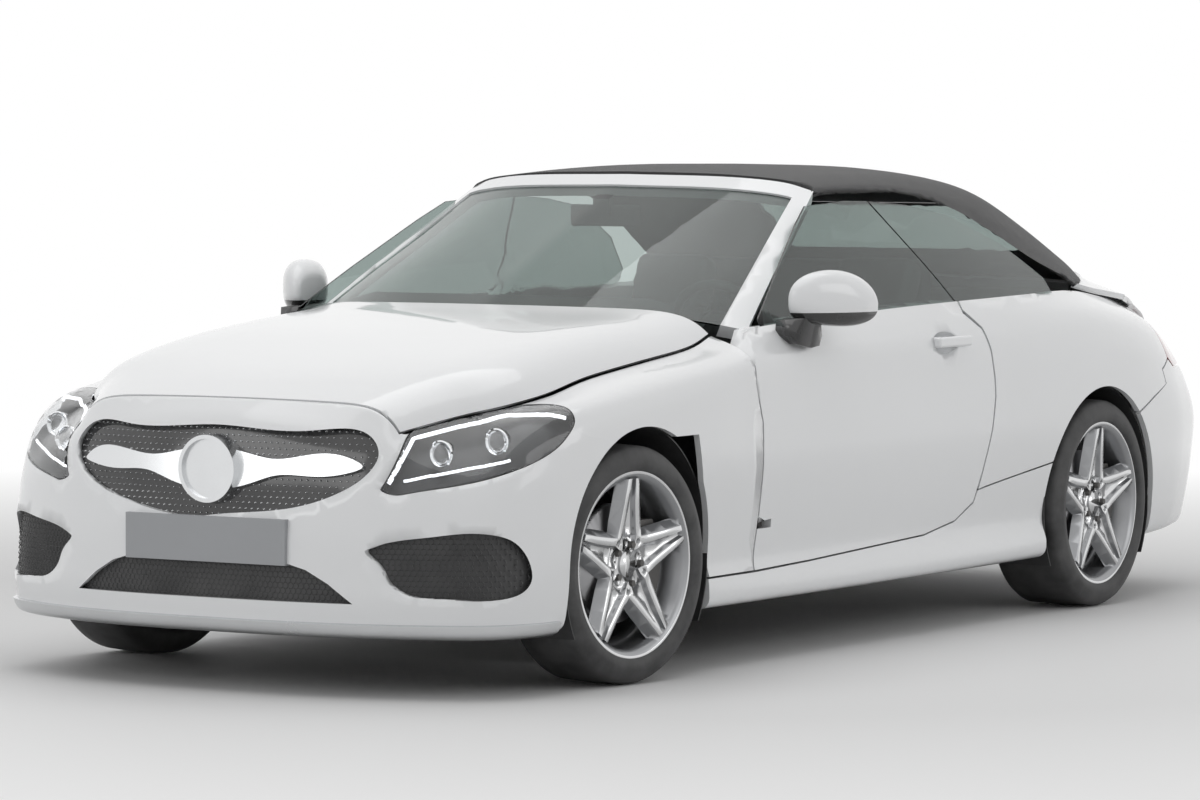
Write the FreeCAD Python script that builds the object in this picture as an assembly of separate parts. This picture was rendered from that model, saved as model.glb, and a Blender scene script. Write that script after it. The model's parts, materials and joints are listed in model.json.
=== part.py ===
"""Two-door convertible car with its soft top closed and its front wheels turned a little.

The frame has its origin on the ground under the middle of the car, +Z up, the nose towards -Y
and the car's left side towards +X. All lengths are millimetres and all angles degrees.
"""
import FreeCAD
import Part
import math
import os

Vector = FreeCAD.Vector

# Overall sizes
WHEELBASE = 2840.0
FRONT_OVERHANG = 800.0
REAR_OVERHANG = 1059.0
BODY_WIDTH = 1810.0
OVERALL_HEIGHT = 1409.0
FRONT_TRACK = 1563.0
REAR_TRACK = 1546.0
STEER_ANGLE = 5.54

# Body panels
PANEL_THICKNESS = 18.0
LID_THICKNESS = 18.0
DOOR_THICKNESS = 108.0
SHUT_GAP = 4.0
LINER_THICKNESS = 4.0
FRONT_ARCH_RADIUS = 375.0
REAR_ARCH_RADIUS = 368.0
FRONT_ARCH_SHIFT = 18.0
ARCH_HEIGHT_ABOVE_AXLE = 4.0
FLOOR_THICKNESS = 36.0
PILLAR_DEPTH = 42.0
GLASS_THICKNESS = 4.5
SCREEN_THICKNESS = 5.5
TOP_THICKNESS = 22.0
TRIM_THICKNESS = 12.0
CUT_OVERRUN = 400.0
SEAT_CLEARANCE = 0.3

# Wheels and brakes
FRONT_TYRE_RADIUS = 331.3
FRONT_TYRE_WIDTH = 225.0
REAR_TYRE_RADIUS = 330.5
REAR_TYRE_WIDTH = 255.0
RIM_LIP_RADIUS = 257.5
RIM_SEAT_RADIUS = 241.0
RIM_WELL_RADIUS = 222.0
RIM_WALL = 7.0
FRONT_RIM_WIDTH = 205.0
REAR_RIM_WIDTH = 230.0
SPOKE_COUNT = 5
SPOKE_THICKNESS = 30.0
SPOKE_SETBACK = 14.0
HUB_RADIUS = 78.0
HUB_THICKNESS = 40.0
CENTRE_BORE_RADIUS = 33.3
SPIGOT_CLEARANCE = 0.05
BOLT_CIRCLE_RADIUS = 56.0
BOLT_HOLE_RADIUS = 12.0
BADGE_RADIUS = 92.0
BADGE_RIM = 11.0
BADGE_DEPTH = 60.0
PLATE_LENGTH = 528.0
PLATE_HEIGHT = 124.0
PLATE_ROOM = 60.0
OUTSIDE_ROOM = 90.0
DISC_RADIUS = 165.0
DISC_THICKNESS = 30.0
DISC_HAT_RADIUS = 92.0
DISC_HAT_DEPTH = 42.0
CALIPER_LENGTH = 230.0
CALIPER_GAP = 5.0
KINGPIN_INSET = 42.0
AXLE_RADIUS = 24.0
ARM_THICKNESS = 30.0

# Doors, bonnet and lid hinges
HINGE_PIN_RADIUS = 6.0
PIN_CLEARANCE = 0.05
DOOR_AXIS_INSET = 46.0
DOOR_AXIS_SETBACK = 52.0
HINGE_HEIGHT = 30.0
HINGE_PLATE = 22.0
LID_HINGE_WIDTH = 14.0

# Cabin
STEERING_WHEEL_RADIUS = 185.0
STEERING_RIM_RADIUS = 15.0
COLUMN_RADIUS = 22.0
COLUMN_ANGLE = 24.0
STEERING_RATIO = 14.0
SEAT_WIDTH = 500.0
SEAT_OFFSET = 370.0
CUSHION_LENGTH = 500.0
CUSHION_HEIGHT = 150.0
BACKREST_HEIGHT = 600.0
BACKREST_THICKNESS = 130.0
BACKREST_ANGLE = 22.0
HEADREST_WIDTH = 270.0
HEADREST_HEIGHT = 190.0
HEADREST_THICKNESS = 110.0

FRONT_AXLE_Y = -(WHEELBASE + REAR_OVERHANG - FRONT_OVERHANG) / 2
REAR_AXLE_Y = FRONT_AXLE_Y + WHEELBASE
HALF_WIDTH = BODY_WIDTH / 2


def along(share):
    """Y of a place: -1 is the nose, 0 the front axle, 1 the rear axle and 2 the tail."""
    if share < 0:
        return FRONT_AXLE_Y + share * FRONT_OVERHANG
    if share <= 1:
        return FRONT_AXLE_Y + share * WHEELBASE
    return REAR_AXLE_Y + (share - 1) * REAR_OVERHANG


def out(share):
    return share * HALF_WIDTH


def up(share):
    return share * OVERALL_HEIGHT


def place(point):
    return Vector(out(point[0]), along(point[1]), up(point[2]))


# Plan outline of the body at its widest, from the nose round the left side to the tail
PLAN_SHARES = [
    (0, -1), (0.3315, -0.985), (0.6077, -0.9162), (0.8564, -0.7812), (0.9591, -0.6),
    (0.9912, -0.375), (1, 0), (0.9945, 0.1408), (0.9812, 0.2465), (0.979, 0.493),
    (0.9834, 0.7218), (0.9945, 0.8627), (1, 1), (0.9945, 1.3399), (0.9558, 1.6232),
    (0.8453, 1.8546), (0.5525, 1.9651), (0, 2),
]

# Sections of the body side at some stations: inset as a share of the half width, height as
# a share of the overall height, from the lower edge to the shoulder
SECTION_SHARES = {
    0: [(0.0552, 0.1207), (0.0155, 0.1334), (0, 0.1774), (0, 0.2413), (0.0022, 0.3052),
        (0.011, 0.3691), (0.0287, 0.4329), (0.0497, 0.4897), (0.0796, 0.5323), (0.1326, 0.5635)],
    2: [(0.0552, 0.1207), (0.0155, 0.1334), (0, 0.1774), (0, 0.2378), (0.0022, 0.2945),
        (0.011, 0.3478), (0.0221, 0.3974), (0.0387, 0.44), (0.0608, 0.4755), (0.0939, 0.5032)],
    3: [(0.0552, 0.1207), (0.0155, 0.1334), (0.0022, 0.1774), (0, 0.2342), (0.0055, 0.291),
        (0.0166, 0.3478), (0.0331, 0.3974), (0.0663, 0.4436), (0.1381, 0.4911), (0.2431, 0.5309)],
    4: [(0.0663, 0.1207), (0.0221, 0.1334), (0.0066, 0.1774), (0.0033, 0.2342), (0.0066, 0.2981),
        (0.0133, 0.3691), (0.0243, 0.4294), (0.0497, 0.4862), (0.116, 0.5266), (0.2265, 0.5479)],
    6: [(0.0773, 0.1207), (0.0387, 0.1348), (0.0243, 0.1774), (0.0155, 0.2342), (0.0066, 0.3123),
        (0, 0.4045), (0.0022, 0.4826), (0.0155, 0.5429), (0.0663, 0.5784), (0.2099, 0.5919)],
    7: [(0.0829, 0.1192), (0.0276, 0.1334), (0.0199, 0.1668), (0.0287, 0.22), (0.0177, 0.3052),
        (0.0022, 0.4081), (0.0011, 0.5004), (0.0099, 0.5784), (0.0663, 0.6118), (0.2044, 0.6231)],
    8: [(0.0884, 0.1171), (0.0177, 0.1313), (0.0066, 0.1618), (0.0265, 0.2129), (0.0155, 0.2981),
        (0.0011, 0.4116), (0.0011, 0.5181), (0.0044, 0.6054), (0.0376, 0.6444), (0.0884, 0.6742)],
    9: [(0.0884, 0.1171), (0.0155, 0.1313), (0.0044, 0.1618), (0.0265, 0.2129), (0.0155, 0.2981),
        (0, 0.4258), (0.0033, 0.5394), (0.0033, 0.616), (0.0287, 0.66), (0.0641, 0.6969)],
    11: [(0.1105, 0.1192), (0.0354, 0.1334), (0.0199, 0.1647), (0.0376, 0.2129), (0.0221, 0.2981),
         (0.0022, 0.4116), (0, 0.5252), (0.011, 0.6132), (0.0398, 0.6671), (0.0906, 0.7126)],
    12: [(0.1105, 0.1221), (0.0387, 0.1363), (0.0221, 0.1668), (0.0221, 0.2165), (0.011, 0.2981),
         (0, 0.4116), (0.0011, 0.511), (0.0155, 0.6018), (0.0575, 0.6636), (0.1547, 0.7126)],
    13: [(0.0994, 0.1348), (0.0387, 0.149), (0.0177, 0.1859), (0.0088, 0.2484), (0.0022, 0.3265),
         (0, 0.4116), (0.0066, 0.4968), (0.0287, 0.5784), (0.0884, 0.6423), (0.221, 0.692)],
    15: [(0.0994, 0.1455), (0.0552, 0.1597), (0.0376, 0.1987), (0.0199, 0.2555), (0.0055, 0.3265),
         (0, 0.4116), (0.0376, 0.4897), (0.0884, 0.55), (0.1436, 0.6033), (0.2155, 0.6494)],
    17: [(0.0884, 0.1455), (0.0552, 0.1597), (0.0331, 0.1987), (0.011, 0.2555), (0, 0.3265),
         (0.0022, 0.3974), (0.0243, 0.4684), (0.0376, 0.5536), (0.0309, 0.6388), (0.0608, 0.687)],
}

LEVELS = 10
STATIONS = len(PLAN_SHARES)
LAST = STATIONS - 1


def blend(knots, rows, at):
    """Smooth curve through the rows of a table."""
    last = len(knots) - 2
    index = 0
    while index < last and at > knots[index + 1]:
        index += 1
    span = knots[index + 1] - knots[index]
    t = (at - knots[index]) / span

    def slope(k, column):
        if k == 0 or k == len(knots) - 1:
            near = 1 if k == 0 else k
            rise = rows[near][column] - rows[near - 1][column]
            return rise / (knots[near] - knots[near - 1])
        before = knots[k] - knots[k - 1]
        after = knots[k + 1] - knots[k]
        first = (rows[k][column] - rows[k - 1][column]) / before
        second = (rows[k + 1][column] - rows[k][column]) / after
        return (first * after + second * before) / (before + after)

    found = []
    for column in range(len(rows[0])):
        m0 = slope(index, column) * span
        m1 = slope(index + 1, column) * span
        p0 = rows[index][column]
        p1 = rows[index + 1][column]
        a = 2 * p0 - 2 * p1 + m0 + m1
        b = 3 * p1 - 3 * p0 - 2 * m0 - m1
        found.append(((a * t + b) * t + m0) * t + p0)
    return found


PLAN_KNOTS = list(range(-1, STATIONS + 1))
PLAN_ROWS = [(out(p[0]), along(p[1])) for p in PLAN_SHARES]
PLAN_ROWS = [(-PLAN_ROWS[1][0], PLAN_ROWS[1][1])] + PLAN_ROWS
PLAN_ROWS = PLAN_ROWS + [(-PLAN_ROWS[-2][0], PLAN_ROWS[-2][1])]
KEYS = sorted(SECTION_SHARES)
SECTION_KNOTS = [-KEYS[1]] + KEYS + [2 * LAST - KEYS[-2]]
SECTION_ROWS = []
for key in [KEYS[1]] + KEYS + [KEYS[-2]]:
    flat = []
    for inset, height in SECTION_SHARES[key]:
        flat.append(out(inset))
        flat.append(up(height))
    SECTION_ROWS.append(flat)
COLUMN_STORE = {}
NUDGE_SHARE = 0.004


def column(u):
    """Plan point, inward direction and section of the body side at station u."""
    if u not in COLUMN_STORE:
        x, y = blend(PLAN_KNOTS, PLAN_ROWS, u)
        x0, y0 = blend(PLAN_KNOTS, PLAN_ROWS, u - NUDGE_SHARE)
        x1, y1 = blend(PLAN_KNOTS, PLAN_ROWS, u + NUDGE_SHARE)
        length = math.hypot(x1 - x0, y1 - y0)
        inward = (-(y1 - y0) / length, (x1 - x0) / length)
        flat = blend(SECTION_KNOTS, SECTION_ROWS, u)
        rows = [(flat[2 * k], flat[2 * k + 1]) for k in range(LEVELS)]
        COLUMN_STORE[u] = (x, y, inward, rows)
    return COLUMN_STORE[u]


LEVEL_KNOTS = list(range(LEVELS))


def side(u, v):
    """Body side: u runs from the nose to the tail, v from the lower edge to the shoulder."""
    sign = 1
    if u < 0:
        u = -u
        sign = -1
    if u > LAST:
        u = 2 * LAST - u
        sign = -1
    x, y, inward, rows = column(u)
    inset, height = blend(LEVEL_KNOTS, rows, v)
    return Vector(sign * (x + inward[0] * inset), y + inward[1] * inset, height)


def station(y, low=1, high=LAST - 1):
    """Station of the body side at a Y."""
    for turn in range(40):
        middle = (low + high) / 2
        if blend(PLAN_KNOTS, PLAN_ROWS, middle)[1] < y:
            low = middle
        else:
            high = middle
    return (low + high) / 2


def skin_x(y, z, low=1.9, high=8.9):
    """Half width of the body side at a Y and a height."""
    u = station(y)
    for turn in range(30):
        middle = (low + high) / 2
        if side(u, middle).z < z:
            low = middle
        else:
            high = middle
    return side(u, low).x
# MASTER END


def table_surface(shares):
    """Smooth function through a table of places: rows by u, columns by v."""
    rows = []
    for row in shares:
        flat = []
        for point in row:
            flat.extend(place(point))
        rows.append(flat)
    row_knots = list(range(len(rows)))
    columns = len(shares[0])
    column_knots = list(range(columns))

    def surface(u, v):
        flat = blend(row_knots, rows, u)
        points = [tuple(flat[3 * k:3 * k + 3]) for k in range(columns)]
        return Vector(*blend(column_knots, points, v))

    return surface


def steps(low, high, count):
    return [low + (high - low) * k / (count - 1) for k in range(count)]


def offset_point(surface, u, v, depth):
    """Point at a depth under a surface, whose outside is du x dv."""
    point = surface(u, v)
    if not depth:
        return point
    du = surface(u + NUDGE_SHARE, v) - surface(u - NUDGE_SHARE, v)
    dv = surface(u, v + NUDGE_SHARE) - surface(u, v - NUDGE_SHARE)
    normal = du.cross(dv)
    normal.normalize()
    return point - normal * depth


def sheet(surface, us, vs, top, bottom, run=None):
    """Solid plate between two depths under a surface, square to it or along a direction."""
    layers = []
    for depth in (top, bottom):
        if run is None:
            points = [[offset_point(surface, u, v, depth) for v in vs] for u in us]
        else:
            points = [[surface(u, v) + run * depth for v in vs] for u in us]
        spline = Part.BSplineSurface()
        spline.interpolate(points)
        layers.append(spline)
    faces = [layers[0].toShape(), layers[1].toShape()]
    u0, u1, v0, v1 = layers[0].bounds()
    for curve in (lambda s: s.uIso(u0), lambda s: s.uIso(u1), lambda s: s.vIso(v0),
                  lambda s: s.vIso(v1)):
        edges = [curve(s).toShape() for s in layers]
        faces.append(Part.makeRuledSurface(edges[0], edges[1]))
    shell = Part.Shell(faces)
    shell.sewShape()
    solid = Part.Solid(shell)
    if solid.Volume < 0:
        solid.reverse()
    return solid


def ring(points, smooth=False):
    """Closed flat outline."""
    if smooth:
        curve = Part.BSplineCurve()
        curve.interpolate(Points=points, PeriodicFlag=True)
        return Part.Wire([curve.toShape()])
    return Part.makePolygon(points + [points[0]])


def prism(points, run, smooth=False):
    return Part.Face(ring(points, smooth)).extrude(run)


def side_prism(shares, x0, x1, smooth=False):
    """Prism through the car's side from an outline of (along, up) shares."""
    points = [Vector(x0, along(a), up(b)) for a, b in shares]
    return prism(points, Vector(x1 - x0, 0, 0), smooth)


def front_prism(shares, y0, y1, smooth=False):
    points = [Vector(out(a), y0, up(b)) for a, b in shares]
    return prism(points, Vector(0, y1 - y0, 0), smooth)


def top_prism(shares, z0, z1, smooth=False):
    points = [Vector(out(a), along(b), z0) for a, b in shares]
    return prism(points, Vector(0, 0, z1 - z0), smooth)


def box(x0, x1, y0, y1, z0, z1):
    return Part.makeBox(x1 - x0, y1 - y0, z1 - z0, Vector(x0, y0, z0))


def mirrored(shape):
    return shape.mirror(Vector(0, 0, 0), Vector(1, 0, 0))


def both(shape):
    return Part.makeCompound([shape, mirrored(shape)])


def solids(shape):
    """The solids of a boolean's result, largest first."""
    return sorted(shape.Solids, key=lambda s: -s.Volume)


def main_solid(shape):
    return solids(shape)[0]


def cylinder(centre, direction, radius, length):
    return Part.makeCylinder(radius, length, centre, direction)


def save(name, shape):
    shape.exportStep("parts/" + name + ".step")


FRONT_HUB_Z = FRONT_TYRE_RADIUS
REAR_HUB_Z = REAR_TYRE_RADIUS
X_AXIS = Vector(1, 0, 0)
Y_AXIS = Vector(0, 1, 0)
Z_AXIS = Vector(0, 0, 1)

# Wheel openings
front_arch_centre = Vector(0, FRONT_AXLE_Y + FRONT_ARCH_SHIFT, FRONT_HUB_Z)
front_arch_centre.z = FRONT_HUB_Z + ARCH_HEIGHT_ABOVE_AXLE
rear_arch_centre = Vector(0, REAR_AXLE_Y, REAR_HUB_Z + ARCH_HEIGHT_ABOVE_AXLE)


def arch_tool(centre, radius):
    start = Vector(-HALF_WIDTH - CUT_OVERRUN, centre.y, centre.z)
    wheel = cylinder(start, X_AXIS, radius, BODY_WIDTH + 2 * CUT_OVERRUN)
    slot = box(start.x, -start.x, centre.y - radius, centre.y + radius, -CUT_OVERRUN, centre.z)
    return wheel.fuse(slot)


front_arch = arch_tool(front_arch_centre, FRONT_ARCH_RADIUS)
rear_arch = arch_tool(rear_arch_centre, REAR_ARCH_RADIUS)
OUTSIDE = HALF_WIDTH + CUT_OVERRUN
INSIDE_SHARE = 0.5525

# Bonnet
SHUT_SHARES = [(0.5834, -0.81, 0.5032), (0.6796, -0.6, 0.5309), (0.7624, -0.4625, 0.5479), (0.7901, -0.25, 0.5656),
               (0.7901, 0, 0.5919), (0.7901, 0.088, 0.6132), (0.7901, 0.1937, 0.6373),
               (0.7901, 0.2394, 0.6636)]
CREST_SHARES = [(-0.85, 0.5635), (-0.625, 0.6033), (-0.375, 0.6338), (-0.125, 0.66), (0.0352, 0.6799),
                (0.1056, 0.6962), (0.169, 0.7097), (0.2025, 0.7182)]
CROWN_SHARE = 0.12
CROWN_POWER = 12
BISECTIONS = 24


def bonnet_point(s, r):
    """Bonnet skin: s runs across from -1 to 1, r from the nose to the screen."""
    count = len(SHUT_SHARES)
    knots = list(range(count))
    edge = Vector(*blend(knots, [tuple(place(p)) for p in SHUT_SHARES], r))
    crest_rows = [(along(p[0]), up(p[1])) for p in CREST_SHARES]
    y, z = blend(knots, crest_rows, r)
    t = abs(s)
    fall = CROWN_SHARE * t ** 2 + (1 - CROWN_SHARE) * t ** CROWN_POWER
    return Vector(s * edge.x, y + (edge.y - y) * t ** 2, z + (edge.z - z) * fall)


edge_trim = 0.994
bonnet = sheet(bonnet_point, steps(-edge_trim, edge_trim, 49), steps(0.04, 6.95, 25), 0, LID_THICKNESS)
save("bonnet", bonnet)
bonnet_room = sheet(bonnet_point, steps(-1, 1, 49), steps(0, 7, 29), -SHUT_GAP, LID_THICKNESS + SHUT_GAP)
edge_knots = list(range(len(SHUT_SHARES)))


def bonnet_edge(y):
    """Place on the bonnet's left edge at that length."""
    low = 0
    high = len(SHUT_SHARES) - 1
    rows = [tuple(place(p)) for p in SHUT_SHARES]
    for step in range(BISECTIONS):
        middle = (low + high) / 2
        if blend(edge_knots, rows, middle)[1] < y:
            low = middle
        else:
            high = middle
    return Vector(*blend(edge_knots, rows, low))


UPPER_SHIFT_SHARE = 0.35
UPPER_EDGE_LEVEL = 8.97


def body_edge(u):
    """Place on the bonnet's outline beside that station of the body's upper edge."""
    top = side(abs(u), LEVELS - 1)
    corner = place(SHUT_SHARES[0])
    if top.x < corner.x:
        edge = bonnet_point(top.x / corner.x, 0)
    else:
        edge = bonnet_edge(top.y)
        edge.y = top.y
    if u < 0:
        edge.x = -edge.x
    return edge


def shoulder(u, v):
    """Body side whose upper edge follows the bonnet's outline."""
    if v <= LEVELS - 3:
        return side(u, v)
    rows = [side(u, LEVELS - 4 + k) for k in range(4)]
    shift = body_edge(u) - rows[-1]
    rows[-1] = rows[-1] + shift
    rows[-2] = rows[-2] + shift * UPPER_SHIFT_SHARE
    return Vector(*blend([0, 1, 2, 3], [tuple(row) for row in rows], v - (LEVELS - 4)))


# Nose: bumper skin with its openings
WING_FRONT_SHARES = [(-0.45, 0.5216), (-0.3125, 0.4933), (-0.125, 0.4791), (0.3169, 0.4791), (0.3169, 0.9226),
                     (-1.125, 0.9226), (-1.125, 0.7452), (-0.5, 0.5678)]
LAMP_SHARES = [(0.5735, -0.9012, 0.4038), (0.5967, -0.8737, 0.4393), (0.6055, -0.8325, 0.4769), (0.6055, -0.7875, 0.5053),
               (0.6796, -0.625, 0.5337), (0.7624, -0.4813, 0.555), (0.8287, -0.4, 0.5607),
               (0.884, -0.3625, 0.5564),
               (0.9282, -0.3525, 0.5451), (0.9547, -0.3687, 0.5266), (0.9613, -0.4125, 0.5025),
               (0.9591, -0.4625, 0.4826),
               (0.9337, -0.58, 0.4514), (0.8409, -0.73, 0.4194), (0.7436, -0.8125, 0.4045),
               (0.6497, -0.8712, 0.3932),
               (0.5923, -0.8987, 0.3939)]
GRILLE_SHARES = [(0, 0.3407), (0.3017, 0.362), (0.463, 0.3974), (0.5337, 0.4329), (0.5525, 0.4649),
                 (0.5304, 0.4925), (0.3315, 0.5082), (0, 0.5138), (-0.3315, 0.5082),
                 (-0.5304, 0.4925),
                 (-0.5525, 0.4649), (-0.5337, 0.4329), (-0.463, 0.3974), (-0.3017, 0.362)]
LOWER_GRILLE_SHARES = [(-0.5028, 0.1831), (0.5028, 0.1831), (0.4254, 0.22), (0.3536, 0.2449), (0.2807, 0.2576),
                       (-0.2807, 0.2576), (-0.3536, 0.2449), (-0.4254, 0.22)]
SIDE_GRILLE_SHARES = [(0.5425, 0.2867), (0.5801, 0.2967), (0.7238, 0.313), (0.8641, 0.3187), (0.9127, 0.3066),
                      (0.9348, 0.2832), (0.947, 0.2477), (0.9459, 0.2229), (0.9315, 0.2037),
                      (0.8917, 0.1938),
                      (0.7558, 0.1959), (0.653, 0.2044), (0.6011, 0.2307), (0.5691, 0.264)]
nose_us = steps(-5.7, 5.7, 61)
nose_vs = steps(0.4, UPPER_EDGE_LEVEL, 28)
nose = sheet(shoulder, nose_us, nose_vs, 0, PANEL_THICKNESS)
nose_front = along(-1) - CUT_OVERRUN
nose_back = along(-0.5625)
LAMP_DIRECTION = Vector(0.55, -0.78, 0.30)


def lamp_prism(grow, behind):
    """Prism of the headlamp's outline, larger all round by a gap, to a depth behind its middle."""
    points = [place(p) for p in LAMP_SHARES]
    middle = Vector(0, 0, 0)
    for p in points:
        middle = middle + p
    middle = middle / len(points)
    direction = Vector(LAMP_DIRECTION)
    direction.normalize()
    flat = []
    for p in points:
        p = p - direction * (p - middle).dot(direction)
        arm = p - middle
        flat.append(p + arm * (grow / arm.Length) - direction * behind)
    return prism(flat, direction * (behind + HEADLAMP_DEPTH), True)


HEADLAMP_DEPTH = 260.0
LAMP_BODY_DEPTH = 90.0
LAMP_WALL = 5.0
LENS_THICKNESS = 4.0
LENS_GAP = 3.0
headlamp_hole = lamp_prism(0, HEADLAMP_DEPTH)
wing_region = side_prism(WING_FRONT_SHARES, out(INSIDE_SHARE), OUTSIDE)
grille_hole = front_prism(GRILLE_SHARES, nose_front, nose_back, True)
lower_hole = front_prism(LOWER_GRILLE_SHARES, nose_front, nose_back)
side_hole = front_prism(SIDE_GRILLE_SHARES, nose_front, nose_back, True)
bumper = nose.cut([front_arch, grille_hole, lower_hole, side_hole, mirrored(side_hole)])
bumper = bumper.cut([headlamp_hole, mirrored(headlamp_hole), wing_region, mirrored(wing_region), bonnet_room])
bumper = main_solid(bumper)
save("front_bumper", bumper)

# Headlamps: a clear cover flush with the skin and a dark body behind it
lamp_skin = sheet(shoulder, steps(1.2, 6.2, 36), steps(0.4, UPPER_EDGE_LEVEL, 36), 0, LENS_THICKNESS)
lens = main_solid(lamp_skin.common(lamp_prism(-LENS_GAP, HEADLAMP_DEPTH)).cut(bonnet_room))
save("headlamp_covers", both(lens))
lamp_behind = Vector(LAMP_DIRECTION)
lamp_behind = lamp_behind * (-1 / lamp_behind.Length)
lamp_us = steps(1.2, 6.2, 36)
lamp_vs = steps(4.5, UPPER_EDGE_LEVEL, 24)
lamp_block = sheet(shoulder, lamp_us, lamp_vs, LENS_THICKNESS / 2, LAMP_BODY_DEPTH, lamp_behind)
lamp_block = main_solid(lamp_block.common(lamp_prism(-LENS_GAP, HEADLAMP_DEPTH)))
lamp_room = sheet(shoulder, lamp_us, lamp_vs, -LENS_THICKNESS, LAMP_BODY_DEPTH - LAMP_WALL, lamp_behind)
lamp_room = main_solid(lamp_room.common(lamp_prism(-LENS_GAP - LAMP_WALL, HEADLAMP_DEPTH)))
lamp_body = main_solid(lamp_block.cut(lamp_room).cut(bonnet_room).cut(lens))
save("headlamps", both(lamp_body))

# Grilles, each a plate set back behind its opening
GRILLE_SETBACK = 22.0
GRILLE_THICKNESS = 10.0
GRILLE_OVERLAP = 6.0
inner_vs = steps(2, LEVELS - 1.2, 22)
grille_skin = sheet(shoulder, steps(-2.9, 2.9, 31), inner_vs, PANEL_THICKNESS + SEAT_CLEARANCE,
                    PANEL_THICKNESS + GRILLE_SETBACK)


def grown(shares, grow):
    """Outline of shares moved away from its middle by a length."""
    cx = sum(p[0] for p in shares) / len(shares)
    cy = sum(p[1] for p in shares) / len(shares)
    moved = []
    for x, y in shares:
        arm = math.hypot(out(x - cx), up(y - cy))
        moved.append((cx + (x - cx) * (1 + grow / arm), cy + (y - cy) * (1 + grow / arm)))
    return moved


grille = main_solid(grille_skin.common(front_prism(grown(GRILLE_SHARES, GRILLE_OVERLAP),
                                                   nose_front, nose_back, True)))
save("radiator_grille", grille)
mesh_skin = sheet(side, steps(-5.2, 5.2, 51), inner_vs, PANEL_THICKNESS + SEAT_CLEARANCE,
                  PANEL_THICKNESS + GRILLE_THICKNESS)
lower_mesh = main_solid(mesh_skin.common(front_prism(grown(LOWER_GRILLE_SHARES, GRILLE_OVERLAP),
                                                     nose_front, nose_back)))
side_mesh = main_solid(mesh_skin.common(front_prism(grown(SIDE_GRILLE_SHARES, GRILLE_OVERLAP),
                                                    nose_front, nose_back, True)))
save("bumper_grilles", Part.makeCompound([lower_mesh, side_mesh, mirrored(side_mesh)]))

# Room outside the inner face of the skin, for what seats against it from inside
outer_vs = steps(.5, LEVELS - 1.05, 40)
front_outside = sheet(shoulder, steps(2.6, 8.4, 60), outer_vs, -OUTSIDE_ROOM,
                      PANEL_THICKNESS + SEAT_CLEARANCE)
rear_outside = sheet(side, steps(9.6, 14.6, 60), outer_vs, -OUTSIDE_ROOM,
                     PANEL_THICKNESS + SEAT_CLEARANCE)

# Bright bars, ring and plain disc in the grille, and the blank number plate
BAR_SHARES = [(-0.4994, 0.4414), (-0.4751, 0.4542), (-0.221, 0.4528), (-0.1436, 0.4599), (0, 0.472), (0.1436, 0.4599),
              (0.221, 0.4528), (0.4862, 0.4542), (0.5105, 0.4436), (0.4751, 0.4315),
              (0.221, 0.4202), (0.1436, 0.4045),
              (0, 0.3903), (-0.1436, 0.4045), (-0.221, 0.4202), (-0.4751, 0.4315)]
BAR_DEPTH = 3.0
bar_skin = sheet(side, steps(-2.9, 2.9, 41), inner_vs, BAR_DEPTH, PANEL_THICKNESS)
bars = bar_skin.common(front_prism(BAR_SHARES, nose_front, nose_back, True))
ring_centre = place((0, -0.995, 0.4301))
badge_ring = cylinder(ring_centre, Y_AXIS, BADGE_RADIUS, BADGE_DEPTH)
badge_hole = cylinder(ring_centre, Y_AXIS, BADGE_RADIUS - BADGE_RIM, BADGE_RIM)
bars = main_solid(bars.fuse(badge_ring).cut(badge_hole).cut(grille))
save("grille_bars", bars)
plate_centre = place((0, -1.0037, 0.296))
plate = box(-PLATE_LENGTH / 2, PLATE_LENGTH / 2, plate_centre.y, plate_centre.y + PLATE_ROOM,
            plate_centre.z - PLATE_HEIGHT / 2, plate_centre.z + PLATE_HEIGHT / 2)
plate = plate.cut(bumper)
plate = plate.cut(box(-OUTSIDE, OUTSIDE, along(-1) + PANEL_THICKNESS, along(0), 0, OVERALL_HEIGHT))
save("number_plate", main_solid(plate))

# Bright blade along the bumper's lower edge
blade = sheet(side, steps(-4.55, 4.55, 61), steps(0.3, 1.35, 7), -TRIM_THICKNESS, -SEAT_CLEARANCE)
save("front_trim_blade", main_solid(blade.cut(bumper)))

# Door hinge axis and the room that the door's front edge sweeps
DOOR_EDGE_SHARE = 0.243
door_axis_y = along(DOOR_EDGE_SHARE) + DOOR_AXIS_SETBACK
door_axis_x = side(station(door_axis_y), 5).x - DOOR_AXIS_INSET
DOOR_FRONT_SHARES = [(0.2356, 0.1419), (0.2356, 0.1902), (0.2412, 0.2981), (0.2433, 0.3974), (0.2415, 0.4897),
                     (0.2264, 0.5713), (0.2264, 0.6146), (0.238, 0.6515), (0.2634, 0.7381)]
sweep_profile = [Vector(door_axis_x, door_axis_y, up(DOOR_FRONT_SHARES[0][1]))]
for edge_y, edge_z in DOOR_FRONT_SHARES:
    reach = math.hypot(skin_x(along(edge_y), up(edge_z)) - door_axis_x, along(edge_y) - door_axis_y)
    sweep_profile.append(Vector(door_axis_x + reach + SHUT_GAP, door_axis_y, up(edge_z)))
sweep_profile.append(Vector(door_axis_x, door_axis_y, up(DOOR_FRONT_SHARES[-1][1])))
door_sweep = Part.Face(ring(sweep_profile)).revolve(Vector(door_axis_x, door_axis_y, 0), Z_AXIS, 360)

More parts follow.
